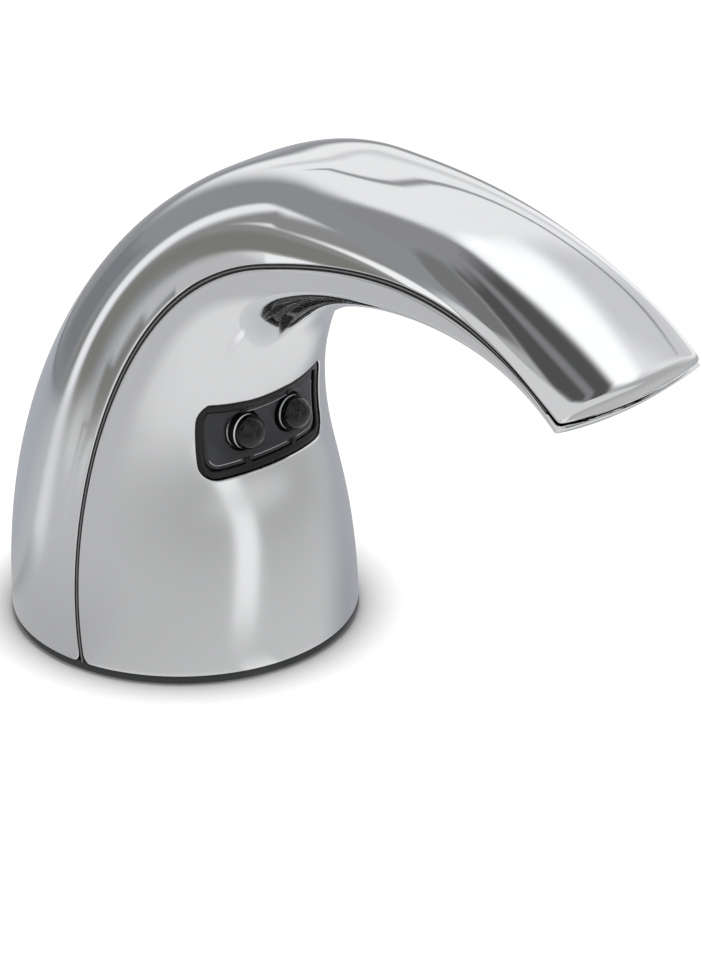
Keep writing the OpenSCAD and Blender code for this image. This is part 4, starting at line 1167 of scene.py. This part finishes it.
        # Raised rib in pale grey, a painted highlight of the plate's edge
        self.highlight_rib(work, size, corner)
        set_in = self.highlight_rib_set - self.highlight_rib_w / 2
        self.pad(work, (0, -size[1] / 2 + set_in / 2), (size[0] - 2 * corner, set_in - 0.1), 0.2,
                 [(-0.06, near - 0.03), (0, near), (0, near + 0.1)], 2)
        inks = [finishes.get(f) for f in (Finishes.SMOKED, Finishes.RIB_HIGHLIGHT, Finishes.BEZEL)]
        seat(work.piece("smoked_plate", inks, 40), "smoked_cover", "sensor_cover")

    def plate_face(self, work: Patchwork, rim: Sequence[Flat], numbers: Sequence[int],
                   rounds: Sequence[tuple[list[Flat], list[int]]], depth: float) -> None:
        """Fills a face of the cover between its rim and its two round openings.

        Args:
            work: The piece.
            rim, numbers: Places and point numbers of the rim.
            rounds: The same for each opening.
            depth: Depth of the face under the surface.
        """
        flat, kept = [Vector(p) for p in rim], list(numbers)
        loops = [(k, (k + 1) % len(rim)) for k in range(len(rim))]
        for places, ids in rounds:
            first = len(flat)
            flat += [Vector(p) for p in places]
            kept += ids
            loops += [(first + k, first + (k + 1) % len(places)) for k in range(len(places))]
        outer = [(x, z, (0, 0, 0)) for x, z in rim]
        holes = [[(x, z, (0, 0, 0)) for x, z in places] for places, _ in rounds]

        def solid(p: Flat) -> bool:
            return within(p, outer) and not any(within(p, h) for h in holes)

        edges = len(flat)
        for i in range(-12, 13):
            for j in range(-5, 6):
                p = (i * self.mesh_step, j * self.mesh_step)
                if solid(p) and min((Vector(p) - f).length for f in flat[:edges]) > self.mesh_gap:
                    flat.append(Vector(p))
                    kept.append(work.add(self.on(p, depth)))
        work.fill(flat, kept, loops, solid)

    def highlight_rib(self, work: Patchwork, size: Flat, corner: float) -> None:
        """Raised rib along the cover's foot and end, broken at the clips; its pale grey is a painted highlight of the
        edge.
        """
        path = self.frame_ring(-self.highlight_rib_set, size=size, corner=corner)
        w, near = self.highlight_rib_w / 2, self.cover_near
        runs: list[list[int]] = [[]]
        for k, (x, z) in enumerate(path):
            level = z < 0.1 + self.highlight_rib_set - size[1] / 2
            broken = level and abs(abs(x) - self.lens_pitch / 2) < self.clip_w / 2 + 0.5
            # The rib and its painted highlight are left off the top and the left end
            if broken or z > 0.3 * size[1] or x < 1 - size[0] / 2:
                runs.append([])
            else:
                runs[-1].append(k)
        if runs[0] and runs[-1] and len(runs) > 1:
            runs[0] = runs.pop() + runs[0]
        for run in runs:
            if len(run) < 2:
                continue
            rows = []
            for k in run:
                here, before, after = Vector(path[k]), Vector(path[k - 1]), Vector(path[(k + 1) % len(path)])
                out = (after - before).orthogonal().normalized()
                rows.append([work.add(self.on(tuple(here + out * u), d)) for u, d in
                             ((-w, near + 0.05), (-w * 0.5, near - 0.07), (w * 0.5, near - 0.07), (w, near + 0.05))])
            work.loft(rows, 1)

    def lens(self, finishes: Finishes, x: int, node: str) -> None:
        """Clear dome on a neck with pale and dark bands and a round flange."""
        work, r, c = Patchwork(), self.lens_r, self.lens_depth
        profile = [(r * math.sin(math.radians(f)), c - self.lens_neck - r * math.cos(math.radians(f)))
                   for f in (3, 8, 14, *range(21, 85, 7), 90)]
        bands = [0] * (len(profile) - 1) + [1, 2, 1, 2]
        fr, ft = self.flange
        profile += [*((r, h) for h in self.lens_bands), (r, c - 0.1)]
        profile += [(r + 0.05, c + 0.05), (fr - 0.15, c + 0.05), (fr, c + 0.2), (fr, c + ft - 0.15),
                    (fr - 0.15, c + ft), (0.4, c + ft)]
        side = x * self.lens_pitch / 2
        work.lathe(profile, lambda u, v, h: self.deep(side + u, v, h), 64, bands=bands)
        inks = [finishes.get(one) for one in (Finishes.LENS, Finishes.PALE, Finishes.BEZEL)]
        seat(work.piece(f"dome_{node}", inks, 55), "lens_clear", node)

    def build(self, finishes: Finishes) -> None:
        """Makes the window's pieces."""
        self.bezel(finishes)
        self.cover(finishes)
        self.lens(finishes, -1, "lens_emitter")
        self.lens(finishes, 1, "lens_receiver")


@dataclass
class Seals:
    """The seam strips and the gasket under the base."""

    strip_end: float = 1.95
    clearance: float = 0.05
    recess: float = 0.62
    bead_w: float = 0.19
    bead_depth: float = 0.28
    gasket_r: float = 41.7
    gasket_bore: float = 28.0
    gasket_h: float = 2.2

    def strips(self, finishes: Finishes) -> None:
        """Dark strip with a raised bead, one length on each side; the bead's paler grey is a painted highlight."""
        o, work = OUTLINE, Patchwork()
        half, w = o.seam_gap / 2 - self.clearance, self.bead_w
        profile = [(half, o.wall), (half, self.recess), (w + 0.06, self.recess), (w, self.bead_depth + 0.12),
                   (w * 0.55, self.bead_depth), (-w * 0.55, self.bead_depth), (-w, self.bead_depth + 0.12),
                   (-w - 0.06, self.recess), (-half, self.recess), (-half, o.wall)]
        stations = [t for t in Sheet(Side.REAR).rows() if t < self.strip_end] + [self.strip_end]
        for x in (-1, 1):
            rows = []
            for t in stations:
                mid = o.seam_shift(t)
                ring = [o.under(t, o.turn_at(t, mid + s), d) for s, d in profile]
                rows.append([work.add((x * p[0], p[1], p[2])) for p in ring])
            for one, two in zip(rows, rows[1:]):
                for k in range(len(profile)):
                    j = (k + 1) % len(profile)
                    # Faces 3 to 5 are the bead, in the paler grey that paints its highlight
                    work.face([one[k], one[j], two[j], two[k]], 1 if 3 <= k <= 5 else 0)
            work.face(rows[0])
            work.face(rows[-1])
        seat(work.piece("seam_strip_pair", [finishes.get(Finishes.STRIP), finishes.get(Finishes.BEAD_HIGHLIGHT)], 60),
             "seam_rubber", "seam_strip")

    def gasket(self, finishes: Finishes) -> None:
        """Rubber ring with a rounded outer lip and two sealing ribs underneath."""
        work, r, b, h = Patchwork(), self.gasket_r, self.gasket_bore, self.gasket_h
        profile = [(b, 0.3), (b + 0.3, 0), (b + 3, 0), (b + 3.4, 0.5), (b + 4.6, 0.5), (b + 5, 0),
                   (r - 3, 0), (r - 2.6, 0.5), (r - 1.6, 0.5), (r - 1.2, 0), (r - 0.35, 0), (r - 0.1, 0.12),
                   (r, 0.4), (r, h - 0.35), (r - 0.1, h - 0.1), (r - 0.35, h), (b + 0.3, h), (b, h - 0.3)]
        work.lathe(profile, lambda u, v, k: (u, v, k), 160, wrap=True)
        seat(work.piece("gasket_ring", [finishes.get(Finishes.GASKET)], 40), "gasket_rubber", "base_gasket")

    def build(self, finishes: Finishes) -> None:
        """Makes the seals."""
        self.strips(finishes)
        self.gasket(finishes)


class InnerWorks:
    """Solids that keep their shape: pump, gears, motor, boards, nozzle and plates."""

    def build(self, finishes: Finishes) -> None:
        """Dresses every solid that is still shown by its slot."""
        slots = {part["node"]: part["material_slot"] for part in frame["record"]["subparts"]}
        for name, solid in sorted(frame["nodes"].items()):
            if solid.hide_render:
                continue
            finish = Finishes.BY_SLOT[slots[name]]
            solid.data.materials.clear()
            solid.data.materials.append(finishes.get(finish))
            log.info("%s: %s", name, finish.name)


@dataclass(frozen=True)
class Panel:
    """A soft studio panel in the surroundings, by direction in degrees.

    Turn 0 is in front of the spout, 90 to its left, seen from behind it.
    """

    turn: float
    half: float
    low: float
    high: float
    colour: float | Point
    soft: Flat = (6.0, 5.0)
    lean: float = 0.0


@dataclass(frozen=True)
class Patch:
    """A patch of the floor as the chrome shows it, by turn in degrees and distance in metres."""

    turn: float
    half: float
    near: float
    far: float
    colour: float | Point
    soft: Flat


@dataclass
class Studio:
    """Camera, floor, lamps and the panels that the chrome shows."""

    turn: float = -45.0
    height: float = 26.5
    distance: float = 1.0
    aim: Point = (0.04054, 0.02776, 0.0022)
    lens: float = 152.6
    floor_r: float = 4.0
    card_r: float = 0.45
    card_level: float = -0.05
    contact: float = 0.018
    shade: Point = (0.5, 0.46, 0.6)
    fill: float = 0.62
    panels: tuple[Panel, ...] = (
        Panel(180, 62, -32, 100, (0.30, 0.305, 0.32), (16, 5)),
        Panel(-137, 13, -30, -6, (0.225, 0.225, 0.205), (9, 6)),
        Panel(-36, 82, 13, 100, 0.72, (8, 8)),
        Panel(-104, 10, -2, 43, 0.38, (7, 8)),
        Panel(-90, 9, 24, 56, 0.14, (9, 9)),
        Panel(118, 44, 2, 50, 0.94, (30, 8)),
        Panel(96, 10, 12, 43, (0.68, 0.68, 0.69), (10, 5)),
        Panel(112, 9, -13, 11, 1.05, (8, 6)),
        Panel(94, 22, 44.5, 51.5, 1.20, (10, 3)),
        Panel(118, 26, 27.6, 29.4, (0.30, 0.30, 0.31), (10, 1.2)),
        Panel(120, 30, 15, 20, (0.72, 0.72, 0.73), (14, 5)),
        Panel(84, 36, 51.5, 69, 0.09, (14, 3)),
        Panel(84, 36, 57.2, 60.2, (0.24, 0.24, 0.25), (14, 2)),
        Panel(150, 42, 51, 66, (0.29, 0.29, 0.30), (20, 6)),
        Panel(148, 78, 69, 100, 0.20, (16, 6)),
        Panel(-132, 6.5, -8, 20, (0.29, 0.29, 0.285), (5, 6)),
        Panel(-170, 15, -11, 2, (0.22, 0.225, 0.24), (8, 5)),
        Panel(-128, 4, -1, 34, 1.05, (3, 5), 0.45),
        Panel(-141, 4, -18, 27, (0.95, 0.96, 0.98), (5, 8)),
        Panel(-1, 8.5, -22, 14, 1.00, (5, 6), 0.25),
        Panel(112, 40, -38, -8, (0.43, 0.44, 0.47), (40, 12)),
    )
    patches: tuple[Patch, ...] = (
        Patch(-112, 30, 0.0, 0.30, (0.55, 0.55, 0.555), (24, 0.06)),
        Patch(178, 40, 0.0, 0.318, (0.52, 0.525, 0.535), (10, 0.006)),
        Patch(-178, 22, 0.0, 0.318, (0.44, 0.46, 0.50), (18, 0.006)),
        Patch(178, 40, 0.318, 0.333, 0.04, (10, 0.004)),
        Patch(-137, 6, 0.10, 0.32, (0.80, 0.80, 0.81), (6, 0.05)),
        Patch(-122, 3.5, 0.245, 0.30, 1.00, (3, 0.02)),
        Patch(-16, 8, 0.0, 0.054, 1.00, (8, 0.02)),
    )

    def camera(self) -> None:
        """Camera at the photograph's viewing angle."""
        a, e = math.radians(self.turn), math.radians(self.height)
        back = Vector((math.sin(a) * math.cos(e), -math.cos(a) * math.cos(e), math.sin(e)))
        right = Vector((math.cos(a), math.sin(a), 0))
        up = back.cross(right)
        data = bpy.data.cameras.new("camera")
        data.sensor_width, data.lens = 36.0, self.lens
        data.clip_start, data.clip_end = 0.01, 50
        made = bpy.data.objects.new("camera", data)
        where = Vector((0, 0, self.aim[2])) + back * self.distance + right * self.aim[0] + up * self.aim[1]
        made.matrix_world = Matrix.Translation(where) @ Matrix((right, up, back)).transposed().to_4x4()
        bpy.context.scene.collection.objects.link(made)
        bpy.context.scene.camera = made

    def world(self) -> None:
        """White backdrop for the camera, panels for chrome and glass, even fill for the rest."""
        made = bpy.data.worlds.new("studio")
        bpy.context.scene.world = made
        shader = Shader(made)
        ray = shader.node("ShaderNodeTexCoord", out="Generated")
        x, y, z = (shader.node("ShaderNodeSeparateXYZ", {}, {0: ray}, out=k) for k in (0, 1, 2))
        height, turn = z.math("ARCSINE") * DEGREES, x.heading(y)
        ramp = [(-90, 0.80), (-50, 0.79), (-36, 0.76), (-28, 0.72), (-19, 0.62), (-12, 0.56), (4, 0.47), (90, 0.47)]
        colour = shader.node("ShaderNodeValToRGB", {"stops": [((h + 90) / 180, rgba(v)) for h, v in ramp]},
                             {0: (height + 90) / 180})
        for panel in self.panels:
            sx, sz = panel.soft
            off = (turn - height * panel.lean).off(panel.turn)
            mask = off.below(panel.half, sx) * height.above(panel.low, sz)
            if panel.high < 90:
                mask = mask * height.below(panel.high, sz)
            colour = shader.mix(mask, colour, rgba(panel.colour))
        path = {k: shader.node("ShaderNodeLightPath", out=f"Is {k} Ray")
                for k in ("Camera", "Glossy", "Transmission")}
        mirrored = path["Glossy"].math("MAXIMUM", path["Transmission"])
        seen = shader.mix(mirrored, rgba(self.fill), colour)
        seen = shader.mix(path["Camera"], seen, (1, 1, 1, 1))
        light = shader.node("ShaderNodeBackground", {}, {"Color": seen, "Strength": 1.0})
        shader.node("ShaderNodeOutputWorld", {}, {"Surface": light})

    @staticmethod
    def disc(name: str, middle_r: float, r: float, level: float, finish: bpy.types.Material) -> bpy.types.Object:
        """Flat disc of a small middle and a ring, in mm."""
        work = Patchwork()
        work.lathe([(middle_r, 0), (r, 0)], lambda u, v, h: (u, v, level), 64)
        work.faces.pop()
        work.inks.pop()
        return work.piece(name, [finish])

    def floor(self) -> None:
        """Wide pale floor that is white to the camera and keeps the soft shadow."""
        made = bpy.data.materials.new("pale_floor")
        shader = Shader(made)
        where = shader.node("ShaderNodeTexCoord", out="Object")
        tone = shader.mix(shader.noise(where, 40.0), (0.80, 0.795, 0.785, 1), (0.83, 0.825, 0.815, 1))
        near = shader.node("ShaderNodeAmbientOcclusion", {"samples": 16}, {"Distance": self.contact}, out="AO")
        least, span, power = self.shade
        shade = ((near - least) / span).math("MAXIMUM", 0.004).math("POWER", power)
        camera = shader.node("ShaderNodeLightPath", out="Is Camera Ray")
        tone = shader.mix(camera, tone, (0.22, 0.22, 0.22, 1))
        lit = shader.mix(shade, (0, 0, 0, 1), (0.95, 0.95, 0.95, 1))
        lift = shader.mix(camera, (0, 0, 0, 1), lit)
        surface = shader.node("ShaderNodeBsdfPrincipled", {}, {
            "Base Color": tone, "Roughness": 0.9, "Specular IOR Level": 0.0,
            "Emission Color": lift, "Emission Strength": 1.0})
        shader.node("ShaderNodeOutputMaterial", {}, {"Surface": surface})
        floor = self.disc("floor", 0.05, self.floor_r / MM, 0.0, made)
        floor.visible_glossy = False
        floor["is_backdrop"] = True

    def card(self) -> None:
        """Floor as the chrome shows it: a pale sheet with a dark edge behind, a bright patch in front."""
        made = bpy.data.materials.new("reflected_floor")
        shader = Shader(made)
        where = shader.node("ShaderNodeTexCoord", out="Object")
        x, y = (shader.node("ShaderNodeSeparateXYZ", {}, {0: where}, out=k) for k in (0, 1))
        reach = (x * x + y * y).math("SQRT")
        turn = x.heading(y)
        colour: Any = rgba(self.patches[0].colour)
        cover: Any = 0.0
        for patch in self.patches:
            st, sr = patch.soft
            mask = turn.off(patch.turn).below(patch.half, st) * reach.below(patch.far, sr)
            if patch.near:
                mask = mask * reach.above(patch.near, sr)
            colour = shader.mix(mask, colour, rgba(patch.colour))
            cover = mask.math("MAXIMUM", cover)
        glow = shader.node("ShaderNodeEmission", {}, {"Color": colour, "Strength": 1.0})
        clear = shader.node("ShaderNodeBsdfTransparent")
        mixed = shader.node("ShaderNodeMixShader", {}, {0: cover, 1: clear, 2: glow})
        shader.node("ShaderNodeOutputMaterial", {}, {"Surface": mixed})
        card = self.disc("reflected_floor", 1.0, self.card_r / MM, self.card_level, made)
        card.visible_camera = card.visible_diffuse = card.visible_shadow = card.visible_transmission = False
        card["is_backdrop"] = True

    def lamp(self, name: str, place: Point, size: float, power: float) -> None:
        """Soft square lamp aimed at the dispenser; the chrome shows the panels instead of it."""
        data = bpy.data.lights.new(name, "AREA")
        data.size, data.energy = size, power
        made = bpy.data.objects.new(name, data)
        made.location = place
        made.rotation_euler = (Vector((0, -0.03, 0.05)) - Vector(place)).to_track_quat("-Z", "Y").to_euler()
        made.visible_glossy = False
        bpy.context.scene.collection.objects.link(made)

    def build(self) -> None:
        """Sets the scene."""
        bpy.context.scene.view_settings.view_transform = "Standard"
        self.camera()
        self.world()
        self.floor()
        self.card()
        self.lamp("key", (-0.5, -0.3, 1.1), 0.9, 6.0)
        log.info("studio: %d panels", len(self.panels))


def corners(box: Sequence[Vector]) -> list[list[float]]:
    """Two corners as plain lists."""
    return [[round(v, 6) for v in corner] for corner in box]


def main() -> None:
    """Builds the dispenser's looks and its studio."""
    logging.basicConfig(level=logging.INFO, format="%(name)s %(message)s")
    finishes = Finishes()
    Studio().build()
    window = SensorWindow()
    Shells(window).build(finishes)
    window.build(finishes)
    Seals().build(finishes)
    InnerWorks().build(finishes)
    {"cad": corners(cad_box), "visual": corners(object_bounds())}


if __name__ == "__main__":
    main()
